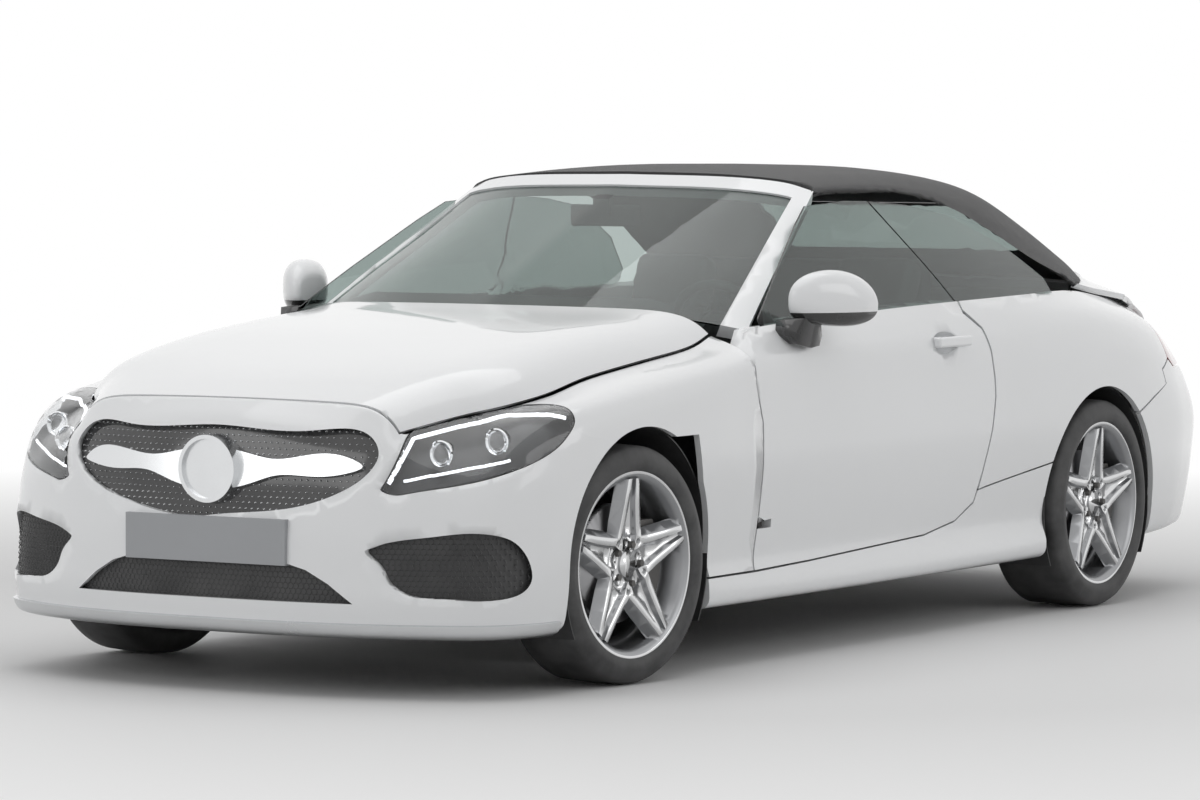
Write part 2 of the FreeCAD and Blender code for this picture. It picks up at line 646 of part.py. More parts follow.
# Wings
WING_SHARES = [(-0.45, 0.5216), (-0.3125, 0.4933), (-0.125, 0.4791), (0.1056, 0.4791), (0.1408, 0.1902),
               (0.2331, 0.1902), (0.2387, 0.2981), (0.2408, 0.3974), (0.2391, 0.4897),
               (0.2254, 0.5713),
               (0.2239, 0.6139), (0.2352, 0.6515), (0.2606, 0.7381), (0.2817, 0.9226),
               (-1.125, 0.9226), (-1.125, 0.7452),
               (-0.5, 0.5678)]
upper_vs = steps(1.9, LEVELS - 1, 40)
wing_vs = steps(1.9, UPPER_EDGE_LEVEL, 48)
wing_skin = sheet(shoulder, steps(3.6, 8.4, 60), wing_vs, 0, PANEL_THICKNESS)
wing = wing_skin.common(side_prism(WING_SHARES, out(INSIDE_SHARE), OUTSIDE))
wing = main_solid(wing.cut(front_arch))
wing = main_solid(wing.cut(headlamp_hole))
wing = main_solid(wing.cut(door_sweep))
wing = main_solid(wing.cut(bonnet_room))
save("front_wings", both(wing))

# Doors
DOOR_SHARES = [(0.2356, 0.1902), (0.3521, 0.1959), (0.5996, 0.215), (0.6687, 0.2363), (0.7067, 0.2725),
               (0.7197, 0.3336), (0.7342, 0.4258), (0.7408, 0.4968), (0.7394, 0.5394),
               (0.7317, 0.5962),
               (0.7183, 0.6458), (0.6901, 0.6813), (0.6831, 0.9226), (0.2958, 0.9226),
               (0.2634, 0.7381), (0.238, 0.6515),
               (0.2264, 0.6146), (0.2278, 0.5713), (0.2415, 0.4897), (0.2433, 0.3974),
               (0.2412, 0.2981)]
door_skin = sheet(side, steps(7.6, 10.9, 40), upper_vs, 0, DOOR_THICKNESS, -X_AXIS)
door = main_solid(door_skin.common(side_prism(DOOR_SHARES, out(INSIDE_SHARE), OUTSIDE)))
DOOR_TOP_INNER = 784.0
HINGE_LEVEL_SHARES = (0.2839, 0.5536)
HINGE_REACH = 150.0
HINGE_BRACKET_WIDTH = 16.0
HINGE_BRACKET_TURN = -58.0


def hinge_pocket(z):
    """Room in the door for the fixed hinge plate through the whole swing."""
    shape = box(door_axis_x - HINGE_REACH, door_axis_x + 2 * HINGE_BRACKET_WIDTH,
                door_axis_y - HINGE_REACH, door_axis_y + HINGE_BRACKET_WIDTH,
                z - HINGE_HEIGHT / 2, z + HINGE_HEIGHT / 2)
    return shape


DOOR_TOP_SHARES = (0.1937, 0.3627, 0.6189)
door = door.cut(box(0, DOOR_TOP_INNER, along(DOOR_TOP_SHARES[0]), along(DOOR_TOP_SHARES[1]), up(DOOR_TOP_SHARES[2]),
                    OVERALL_HEIGHT))
door_pins = []
for share in HINGE_LEVEL_SHARES:
    level = up(share)
    door = door.cut(hinge_pocket(level))
    pin_low = Vector(door_axis_x, door_axis_y, level - HINGE_HEIGHT)
    door = door.cut(cylinder(pin_low, Z_AXIS, HINGE_PIN_RADIUS + PIN_CLEARANCE, 2 * HINGE_HEIGHT))
    pin = cylinder(pin_low, Z_AXIS, HINGE_PIN_RADIUS, 2 * HINGE_HEIGHT - SEAT_CLEARANCE)
    bracket = box(door_axis_x - HINGE_BRACKET_WIDTH / 2, door_axis_x + HINGE_BRACKET_WIDTH / 2,
                  door_axis_y - HINGE_REACH, door_axis_y + HINGE_BRACKET_WIDTH / 2,
                  level - HINGE_PLATE / 2, level + HINGE_PLATE / 2)
    bracket.rotate(Vector(door_axis_x, door_axis_y, level), Z_AXIS, HINGE_BRACKET_TURN)
    door_pins.append(pin.fuse(bracket))
hinge_set = both(Part.makeCompound(door_pins))
door = main_solid(door)

# Side glass surface: v runs from the belt to the roof rail
GLASS_SHARES = [
    [(0.9083, 0.2113, 0.6529), (0.8453, 0.2113, 0.731), (0.7735, 0.2113, 0.8091), (0.6917, 0.2113, 0.8872), (0.6519, 0.2113, 0.9226)],
    [(0.9127, 0.3521, 0.6742), (0.8486, 0.3521, 0.7488), (0.7757, 0.3521, 0.8268), (0.6961, 0.3521, 0.9084), (0.663, 0.3521, 0.9439)],
    [(0.9171, 0.493, 0.6899), (0.853, 0.493, 0.763), (0.7801, 0.493, 0.841), (0.7006, 0.493, 0.9226), (0.6696, 0.493, 0.9546)],
    [(0.9171, 0.669, 0.7026), (0.8552, 0.669, 0.7736), (0.7845, 0.669, 0.8446), (0.7028, 0.669, 0.9226), (0.6696, 0.669, 0.9546)],
    [(0.9083, 0.8099, 0.7097), (0.8508, 0.8099, 0.7736), (0.7823, 0.8099, 0.841), (0.7072, 0.8099, 0.9084), (0.6674, 0.8099, 0.9439)],
    [(0.884, 0.9683, 0.7133), (0.8343, 0.9683, 0.7665), (0.7735, 0.9683, 0.8233), (0.7072, 0.9683, 0.8801), (0.6674, 0.9683, 0.9155)],
]
glass_surface = table_surface(GLASS_SHARES)
DOOR_GLASS_SHARES = [(0.2817, 0.6529), (0.2817, 0.6941), (0.3521, 0.7793), (0.4401, 0.8786), (0.4789, 0.917),
                     (0.5634, 0.9262), (0.6144, 0.9241), (0.6901, 0.6991), (0.6901, 0.6671)]
QUARTER_GLASS_SHARES = [(0.693, 0.6991), (0.6173, 0.9241), (0.6951, 0.9141), (0.7757, 0.89),
                        (0.8701, 0.8204), (0.9296, 0.7452), (0.9331, 0.7097), (0.8099, 0.6991)]
glass_us = steps(0, 5, 26)
glass_vs = steps(0, 4, 13)
glass = sheet(glass_surface, glass_us, glass_vs, 0, GLASS_THICKNESS)
glass_slot = sheet(glass_surface, glass_us, glass_vs, -SEAT_CLEARANCE, GLASS_THICKNESS + SEAT_CLEARANCE)
door = main_solid(door.cut(glass_slot))
door_glass = main_solid(glass.common(side_prism(DOOR_GLASS_SHARES, out(INSIDE_SHARE), OUTSIDE)))
quarter_glass = main_solid(glass.common(side_prism(QUARTER_GLASS_SHARES, out(INSIDE_SHARE), OUTSIDE)))
save("door_glass_left", door_glass)
save("door_glass_right", mirrored(door_glass))
save("quarter_glasses", both(quarter_glass))

# Boot lid: from its lower edge over the lip and forward over the deck
LID_SHARES = [
    [(0, 1.9707, 0.4485), (0.3315, 1.9651, 0.4485), (0.5525, 1.9254, 0.4514), (0.6464, 1.8782, 0.4578)],
    [(0, 1.9651, 0.5252), (0.3315, 1.9556, 0.5252), (0.5525, 1.9122, 0.5266), (0.6519, 1.8612, 0.528)],
    [(0, 1.9688, 0.6104), (0.3315, 1.9537, 0.6089), (0.5525, 1.8971, 0.6047), (0.6575, 1.8357, 0.5976)],
    [(0, 1.9764, 0.66), (0.3315, 1.9556, 0.6565), (0.5525, 1.8876, 0.6473), (0.663, 1.8026, 0.6281)],
    [(0, 1.9556, 0.6856), (0.3315, 1.933, 0.6813), (0.5525, 1.8593, 0.6686), (0.6685, 1.7554, 0.6444)],
    [(0, 1.8876, 0.6941), (0.3315, 1.8687, 0.6899), (0.5525, 1.8026, 0.6778), (0.6851, 1.6988, 0.6544)],
    [(0, 1.7554, 0.7083), (0.3315, 1.746, 0.704), (0.5525, 1.7082, 0.6927), (0.7072, 1.6421, 0.6671)],
    [(0, 1.6043, 0.7225), (0.3315, 1.6025, 0.7182), (0.5525, 1.5949, 0.7083), (0.7293, 1.576, 0.6757)],
]
lid_half = table_surface(LID_SHARES)


def across(surface):
    """Full-width surface from a half one: u across from -3 to 3, v along."""
    def full(u, v):
        point = surface(v, abs(u))
        if u < 0:
            point.x = -point.x
        return point
    return full


lid_full = across(lid_half)
lid = sheet(lid_full, steps(-3, 3, 31), steps(0, 7, 29), 0, LID_THICKNESS)
save("boot_lid", lid)
lid_room = sheet(lid_full, steps(-3.04, 3.04, 41), steps(-0.05, 7, 30), -SHUT_GAP, LID_THICKNESS + SHUT_GAP)

# Quarter panels, from the door round the rear wheel to the tail
QUARTER_SHARES = [(0.7169, 0.2988), (0.7229, 0.3336), (0.7373, 0.4258), (0.744, 0.4968), (0.7426, 0.5394),
                  (0.7349, 0.5983), (0.7215, 0.6501), (0.6937, 0.6884), (0.6923, 0.9226),
                  (2.0009, 0.9226), (2.0009, 0.6388),
                  (1.5194, 0.6281), (1.5194, 0.5465), (1.4344, 0.5252), (1.4533, 0.4897),
                  (1.3399, 0.4649),
                  (1.1983, 0.4258), (0.9155, 0.4258), (0.8803, 0.3407), (0.7327, 0.3038)]
TAIL_LAMP_SHARES = [(1.5231, 0.55), (1.5231, 0.6246), (1.6232, 0.6246), (1.831, 0.616), (2.0482, 0.6033),
                    (2.0482, 0.5465), (1.7177, 0.5287), (1.5855, 0.5252)]
quarter_skin = sheet(side, steps(9.6, 14.6, 60), upper_vs, 0, PANEL_THICKNESS)
quarter = quarter_skin.cut(rear_arch)
quarter = quarter.common(side_prism(QUARTER_SHARES, out(INSIDE_SHARE), OUTSIDE))
LID_SIDE_SHARE = 0.663
quarter = main_solid(quarter.cut(glass_slot).cut(lid_room))
save("quarter_panels", both(quarter))

# Tail: bumper skin and lamps
tail_us = steps(12.2, 2 * LAST - 12.2, 61)
tail = sheet(side, tail_us, steps(0.6, 6.8, 24), 0, PANEL_THICKNESS)
REAR_BUMPER_SHARES = [(1.0567, 0.071), (2.1898, 0.071), (2.1898, 0.4414), (1.8404, 0.4414), (1.7177, 0.5216),
                      (1.5855, 0.5202), (1.5231, 0.5429), (1.4419, 0.5216), (1.4608, 0.4897),
                      (1.3399, 0.4599), (1.1983, 0.4202), (1.0567, 0.4202)]
rear_bumper = tail.cut(rear_arch).common(side_prism(REAR_BUMPER_SHARES, -OUTSIDE, OUTSIDE))
rear_bumper = main_solid(rear_bumper.cut(lid_room))
save("rear_bumper", rear_bumper)
TAIL_LAMP_INNER = 566.0
tail_lamp = sheet(side, steps(13, 16.4, 36), steps(5, LEVELS - 1.5, 16), 0, PANEL_THICKNESS)
tail_lamp = tail_lamp.common(side_prism(TAIL_LAMP_SHARES, TAIL_LAMP_INNER, OUTSIDE))
tail_lamp = main_solid(tail_lamp.cut(lid_room))
save("tail_lamps", both(tail_lamp))

# Sill skirts between the wheels
SKIRT_SHARES = [(0.1056, 0.0355), (0.9155, 0.0355), (0.9155, 0.3456), (0.8803, 0.3371), (0.7327, 0.3002), (0.7151, 0.2952),
                (0.7085, 0.2683), (0.6694, 0.2328), (0.5996, 0.2115), (0.3521, 0.1923),
                (0.2356, 0.1859), (0.1338, 0.1859)]
skirt_us = steps(6.4, 12.3, 48)
skirt_vs = steps(0.6, 4.9, 28)
skirt = sheet(side, skirt_us, skirt_vs, 0, 2 * PANEL_THICKNESS, -X_AXIS)
skirt = skirt.cut(front_arch).cut(rear_arch).common(side_prism(SKIRT_SHARES, out(INSIDE_SHARE), OUTSIDE))
skirt = main_solid(skirt)
skirt_outside = sheet(side, skirt_us, skirt_vs, -OUTSIDE_ROOM, 2 * PANEL_THICKNESS, -X_AXIS)
save("sill_skirts", both(skirt))

LID_AXIS_SHARE = (1.4958, 0.6899)
SWING_CLEARANCE = 3.0
LID_SWING_STEP = 5.0
LID_SWING_STEPS = 5

# Cover of the folded top's well, round the base of the soft top
COVER_SHARES = [
    [(0, 1.5987, 0.7232), (0.3315, 1.5968, 0.7189), (0.5525, 1.5892, 0.709), (0.7337, 1.5703, 0.6778)],
    [(0, 1.5571, 0.7282), (0.3315, 1.5524, 0.7246), (0.5746, 1.5288, 0.7154), (0.7514, 1.4344, 0.6884)],
    [(0, 1.5146, 0.7339), (0.3315, 1.5052, 0.731), (0.5967, 1.4627, 0.7239), (0.7735, 1.2644, 0.7012)],
    [(0, 1.4769, 0.7395), (0.3315, 1.4674, 0.7381), (0.6188, 1.4108, 0.7339), (0.7901, 1.1133, 0.7168)],
]
cover_full = across(table_surface(COVER_SHARES))
cover = sheet(cover_full, steps(-3, 3, 31), steps(0, 3, 10), 0, LID_THICKNESS)

# Soft top: v runs from the left belt over the roof to the middle
TOP_SHARES = [
    [(0.6696, 0.5148, 0.9439), (0.6464, 0.5176, 0.9581), (0.5525, 0.5106, 0.9723), (0.3315, 0.4972, 0.983), (0, 0.4912, 0.9865)],
    [(0.6807, 0.5986, 0.9454), (0.6519, 0.5986, 0.9624), (0.5525, 0.5986, 0.9808), (0.3315, 0.5986, 0.9936), (0, 0.5986, 0.9972)],
    [(0.6807, 0.6972, 0.9404), (0.6519, 0.6972, 0.9595), (0.5525, 0.6972, 0.9815), (0.3315, 0.6972, 0.9965), (0, 0.6972, 1)],
    [(0.7072, 0.7958, 0.907), (0.663, 0.8028, 0.9383), (0.558, 0.8099, 0.9709), (0.3315, 0.8099, 0.9894), (0, 0.8099, 0.9936)],
    [(0.7514, 0.8732, 0.8488), (0.6906, 0.8979, 0.8928), (0.5746, 0.9225, 0.9368), (0.3315, 0.9296, 0.9638), (0, 0.9296, 0.9695)],
    [(0.7901, 0.9437, 0.7878), (0.7182, 0.9789, 0.8268), (0.5912, 1.0661, 0.8644), (0.3315, 1.1133, 0.8957), (0, 1.1228, 0.9028)],
    [(0.8232, 1, 0.7466), (0.7459, 1.1511, 0.7651), (0.6077, 1.3022, 0.7807), (0.3315, 1.3683, 0.7935), (0, 1.3777, 0.7977)],
    [(0.8265, 1.085, 0.7225), (0.7624, 1.2266, 0.731), (0.6188, 1.3872, 0.7381), (0.3315, 1.4533, 0.7424), (0, 1.4674, 0.7452)],
]
top_half = table_surface(TOP_SHARES)


def top_full(u, v):
    """Soft top: u runs back, v across from the left edge, 0, to the right edge, 8."""
    if v <= 4:
        return top_half(u, v)
    point = top_half(u, 8 - v)
    return Vector(-point.x, point.y, point.z)


soft_top = sheet(top_full, steps(0, 7, 29), steps(0, 8, 33), 0, TOP_THICKNESS)
REAR_WINDOW_SHARES = [(-0.4862, 0.7935), (0.4862, 0.7935), (0.442, 0.9049), (-0.442, 0.9049)]
window_back = along(2.2842)
window_front = along(0.8979)
rear_window_hole = front_prism(REAR_WINDOW_SHARES, window_front, window_back)
soft_top = main_solid(soft_top.cut(rear_window_hole))
lid_edge = sheet(lid_full, steps(-3, 3, 31), steps(6, 7, 9), -SHUT_GAP, LID_THICKNESS + SHUT_GAP)
lid_edge.translate(Vector(0, -SWING_CLEARANCE, 0))
lid_axis = Vector(0, along(LID_AXIS_SHARE[0]), up(LID_AXIS_SHARE[1]))
for turn in steps(LID_SWING_STEP, LID_SWING_STEP * LID_SWING_STEPS, LID_SWING_STEPS):
    swung = lid_edge.copy()
    swung.rotate(lid_axis, X_AXIS, turn)
    cover = main_solid(cover.cut(swung))
cover = main_solid(cover.cut(soft_top))
save("tonneau_cover", cover)
window_skin = sheet(top_full, steps(3, 7, 17), steps(1, 7, 25), TRIM_THICKNESS / 2, TRIM_THICKNESS)
rear_window = main_solid(window_skin.common(front_prism(grown(REAR_WINDOW_SHARES, -SEAT_CLEARANCE),
                                                        window_front, window_back)))
save("rear_window", rear_window)

# Windscreen and its frame: u across from -3 to 3, v up the screen
SCREEN_SHARES = [
    [(0, 0.206, 0.7168), (0.442, 0.2201, 0.7097), (0.7072, 0.2465, 0.692), (0.8453, 0.2817, 0.6707)],
    [(0, 0.2958, 0.8055), (0.4199, 0.3063, 0.7984), (0.663, 0.3292, 0.7807), (0.7901, 0.3574, 0.763)],
    [(0, 0.3873, 0.8907), (0.3978, 0.3961, 0.8843), (0.6133, 0.4155, 0.8694), (0.7293, 0.4366, 0.8552)],
    [(0, 0.4877, 0.9808), (0.3646, 0.493, 0.9773), (0.5635, 0.507, 0.9666), (0.6685, 0.5176, 0.9475)],
]
screen_full = across(table_surface(SCREEN_SHARES))
frame_plate = sheet(screen_full, steps(-3, 3, 31), steps(0, 3, 17), 0, PILLAR_DEPTH)
screen_hole = sheet(screen_full, steps(-2.48, 2.48, 31), steps(-.05, 2.76, 17), -PILLAR_DEPTH, 2 * PILLAR_DEPTH)
FRAME_FOOT_X = 776.0
FRAME_FOOT_SHARE = 0.7346
foot_room = box(FRAME_FOOT_X, OUTSIDE, along(0), along(1), 0, up(FRAME_FOOT_SHARE)).fuse(door_sweep)
frame = frame_plate.cut(screen_hole).cut(foot_room).cut(mirrored(foot_room))
frame = main_solid(frame)
save("windscreen_frame", frame)
soft_top = main_solid(soft_top.cut(frame))
save("soft_top", soft_top)
screen = sheet(screen_full, steps(-2.477, 2.477, 31), steps(.03, 2.757, 17), TRIM_THICKNESS / 2,
               TRIM_THICKNESS / 2 + SCREEN_THICKNESS)
save("windscreen", screen)

# Floor, sills and bulkheads in one tub
FLOOR_FRONT_SHARE = 0.162
FLOOR_REAR_SHARE = 1.7365
FLOOR_TOP_SHARE = 0.1739
SILL_TOP_SHARE = 0.2449
SILL_INNER = 690.0
SILL_ROOM = 14.0
SILL_OUTER = 843.4
CABIN_HALF = 745.0
BULKHEAD_THICKNESS = 30.0
FIREWALL_TOP_SHARE = 0.5962
REAR_WALL_SHARE = 0.9225
REAR_WALL_TOP_SHARE = 0.6388
BOOT_FLOOR_SHARE = 0.3584
WHEEL_ROOM_HALF = 429.7
floor_z = up(FLOOR_TOP_SHARE)
floor_y0 = along(FLOOR_FRONT_SHARE)
floor_y1 = along(FLOOR_REAR_SHARE)
sill_y0 = front_arch_centre.y + FRONT_ARCH_RADIUS + LINER_THICKNESS + SEAT_CLEARANCE
sill_y1 = rear_arch_centre.y - REAR_ARCH_RADIUS - LINER_THICKNESS - SEAT_CLEARANCE
rear_wall_y = along(REAR_WALL_SHARE)
boot_floor_z = up(BOOT_FLOOR_SHARE)
skirt_inner = door_axis_x - DOOR_THICKNESS
tub = box(-CABIN_HALF, CABIN_HALF, sill_y0, sill_y1, floor_z - FLOOR_THICKNESS, floor_z)
sill = box(SILL_INNER, OUTSIDE, sill_y0, sill_y1, floor_z - FLOOR_THICKNESS, up(SILL_TOP_SHARE))
sill = sill.cut(skirt_outside)
sill_cover_z = up(0.1859)
sill = sill.cut(box(door_axis_x - DOOR_THICKNESS - SILL_ROOM, OUTSIDE, floor_y0, floor_y1, sill_cover_z, up(FIREWALL_TOP_SHARE)))
tub = tub.fuse(sill).fuse(mirrored(sill))
firewall_y = along(0.2113)
tub = tub.fuse(box(-SILL_INNER, SILL_INNER, firewall_y, firewall_y + BULKHEAD_THICKNESS, floor_z - FLOOR_THICKNESS,
                   up(FIREWALL_TOP_SHARE)))
tub = tub.fuse(box(-WHEEL_ROOM_HALF, WHEEL_ROOM_HALF, sill_y1,
                   floor_y1, boot_floor_z - FLOOR_THICKNESS, boot_floor_z))
tub = tub.fuse(box(-WHEEL_ROOM_HALF, WHEEL_ROOM_HALF, sill_y1 - BULKHEAD_THICKNESS, sill_y1,
                   floor_z - FLOOR_THICKNESS, boot_floor_z))
tub = tub.fuse(box(-WHEEL_ROOM_HALF, WHEEL_ROOM_HALF, rear_wall_y, rear_wall_y + BULKHEAD_THICKNESS,
                   boot_floor_z - FLOOR_THICKNESS, up(REAR_WALL_TOP_SHARE)))
JACK_SHARES = (0.3, 0.72)
JACK_X = 745.0
JACK_PAD_WIDTH = 60.0
JACK_PAD_LENGTH = 90.0
JACK_PAD_HEIGHT = 8.0
POST_WIDTH = 80.0
POST_LENGTH = 90.0
POST_INNER = 650.0
RAIL_INNER = 360.0
RAIL_WIDTH = 56.0
RAIL_TOP_SHARE = 0.3833
RAIL_HEIGHT = 90.0
BEAM_Y_SHARE = -0.875
BLADE_INSET = 6.0
post = box(POST_INNER, POST_INNER + POST_WIDTH, sill_y0, door_axis_y - DOOR_AXIS_SETBACK, floor_z - FLOOR_THICKNESS,
           up(FIREWALL_TOP_SHARE))
rail = box(RAIL_INNER, RAIL_INNER + RAIL_WIDTH, along(BEAM_Y_SHARE), firewall_y + BULKHEAD_THICKNESS,
           up(RAIL_TOP_SHARE) - RAIL_HEIGHT, up(RAIL_TOP_SHARE))
beam_z = up(0.2732)
beam = box(-RAIL_INNER - RAIL_WIDTH, RAIL_INNER + RAIL_WIDTH, along(-1), along(BEAM_Y_SHARE) + RAIL_WIDTH,
           beam_z, beam_z + RAIL_HEIGHT - 2 * BLADE_INSET)
beam = main_solid(beam.cut(bumper).cut(box(-OUTSIDE, OUTSIDE, nose_front, along(-0.9875), 0, OVERALL_HEIGHT)))
rear_beam_z = up(0.2981)
rear_beam = box(-RAIL_INNER - RAIL_WIDTH, RAIL_INNER + RAIL_WIDTH, floor_y1, along(2), rear_beam_z - RAIL_WIDTH, rear_beam_z + RAIL_WIDTH)
REAR_STRUT_X = 620.0
LID_SHELF_INNER = 434.0
LID_SHELF_MARGIN = 20.0
REAR_STRUT_SHARES = (1.5666, 1.6138, 0.5607, 0.5891)
strut_y0, strut_y1 = [along(y) for y in REAR_STRUT_SHARES[:2]]
strut_z0, strut_z1 = [up(z) for z in REAR_STRUT_SHARES[2:]]
strut = box(REAR_STRUT_X, REAR_STRUT_X + RAIL_WIDTH, strut_y0, strut_y1, rear_beam_z - RAIL_WIDTH, strut_z1)
strut = strut.fuse(box(REAR_STRUT_X, OUTSIDE, strut_y0, strut_y1, strut_z0, strut_z1).cut(rear_outside))
strut = strut.fuse(box(RAIL_INNER, REAR_STRUT_X + RAIL_WIDTH, strut_y0, strut_y1, rear_beam_z - RAIL_WIDTH,
                       rear_beam_z + RAIL_WIDTH))
strut = strut.fuse(box(LID_SHELF_INNER, REAR_STRUT_X + RAIL_WIDTH, along(LID_AXIS_SHARE[0]) - LID_SHELF_MARGIN, strut_y1,
                       strut_z0, strut_z1))
strut = main_solid(strut.cut(quarter).cut(tail_lamp))
rear_beam = main_solid(rear_beam.cut(rear_bumper))
rear_beam = rear_beam.fuse(strut).fuse(mirrored(strut))
side_plate = box(POST_INNER, OUTSIDE, rear_wall_y, rear_wall_y + BULKHEAD_THICKNESS,
                 rear_arch_centre.z + REAR_ARCH_RADIUS + LINER_THICKNESS + PANEL_THICKNESS, up(REAR_WALL_TOP_SHARE))
side_plate = main_solid(side_plate.cut(rear_outside).cut(quarter))
tub = tub.fuse(side_plate).fuse(mirrored(side_plate))
for sign in (-1, 1):
    leg_x = sign * (RAIL_INNER + RAIL_WIDTH / 2)
    tub = tub.fuse(box(leg_x - RAIL_WIDTH / 2, leg_x + RAIL_WIDTH / 2, sill_y1 + WHEEL_ROOM_HALF, floor_y1,
                       rear_beam_z - RAIL_WIDTH, boot_floor_z))
tub = tub.fuse(rear_beam)
tub = tub.fuse(post).fuse(mirrored(post)).fuse(rail).fuse(mirrored(rail)).fuse(beam)
rear_post_y = rear_arch_centre.y - REAR_ARCH_RADIUS - 6 * PANEL_THICKNESS
rear_post = box(POST_INNER, POST_INNER + POST_WIDTH + PANEL_THICKNESS, rear_wall_y, rear_wall_y + BULKHEAD_THICKNESS, boot_floor_z, up(REAR_WALL_TOP_SHARE))
rear_wall = box(-POST_INNER, POST_INNER, rear_wall_y, rear_wall_y + BULKHEAD_THICKNESS,
                rear_arch_centre.z + REAR_ARCH_RADIUS + LINER_THICKNESS + PANEL_THICKNESS, up(REAR_WALL_TOP_SHARE))
tub = tub.fuse(rear_wall)
for jack_share in JACK_SHARES:
    pad = box(JACK_X - JACK_PAD_WIDTH / 2, JACK_X + JACK_PAD_WIDTH / 2, along(jack_share) - JACK_PAD_LENGTH / 2,
              along(jack_share) + JACK_PAD_LENGTH / 2, floor_z - FLOOR_THICKNESS - JACK_PAD_HEIGHT, floor_z - FLOOR_THICKNESS)
    tub = tub.fuse(pad).fuse(mirrored(pad))
tub = tub.cut(hinge_set)
save("floor_pan", main_solid(tub.removeSplitter()))

# Inner arches
LINER_INNER = 430.0
LINER_OUTER = 874.0


def liner(centre, radius, inner, outer):
    start = Vector(inner, centre.y, centre.z)
    shell = cylinder(start, X_AXIS, radius + LINER_THICKNESS, outer - inner)
    shell = shell.cut(cylinder(start, X_AXIS, radius, outer - inner))
    cap = cylinder(start, X_AXIS, radius + LINER_THICKNESS, LINER_THICKNESS)
    shell = shell.fuse(cap)
    low = box(inner, outer, centre.y - 2 * radius, centre.y + 2 * radius, centre.z - 2 * radius,
              centre.z - radius / 2)
    axle_room = cylinder(start, X_AXIS, DISC_HAT_RADIUS, outer - inner)
    axle_room = axle_room.fuse(box(inner, outer, centre.y - DISC_HAT_RADIUS, centre.y + DISC_HAT_RADIUS,
                                   centre.z - 2 * radius, centre.z))
    return main_solid(shell.cut(low).cut(axle_room))


front_liner = liner(front_arch_centre, FRONT_ARCH_RADIUS, LINER_INNER, LINER_OUTER)
front_liner = main_solid(front_liner.cut(wing).cut(bumper))
rear_liner = liner(rear_arch_centre, REAR_ARCH_RADIUS, LINER_INNER, LINER_OUTER)
rear_liner = main_solid(rear_liner.cut(quarter).cut(rear_bumper))
rear_liner = main_solid(rear_liner.cut(skirt))
save("wheel_arch_liners", both(Part.makeCompound([front_liner, rear_liner])))


# Wheels
def revolved(profile):
    """Solid of revolution about X from (x, r) points."""
    points = [Vector(x, 0, r) for x, r in profile]
    return Part.Face(ring(points)).revolve(Vector(0, 0, 0), X_AXIS, 360)


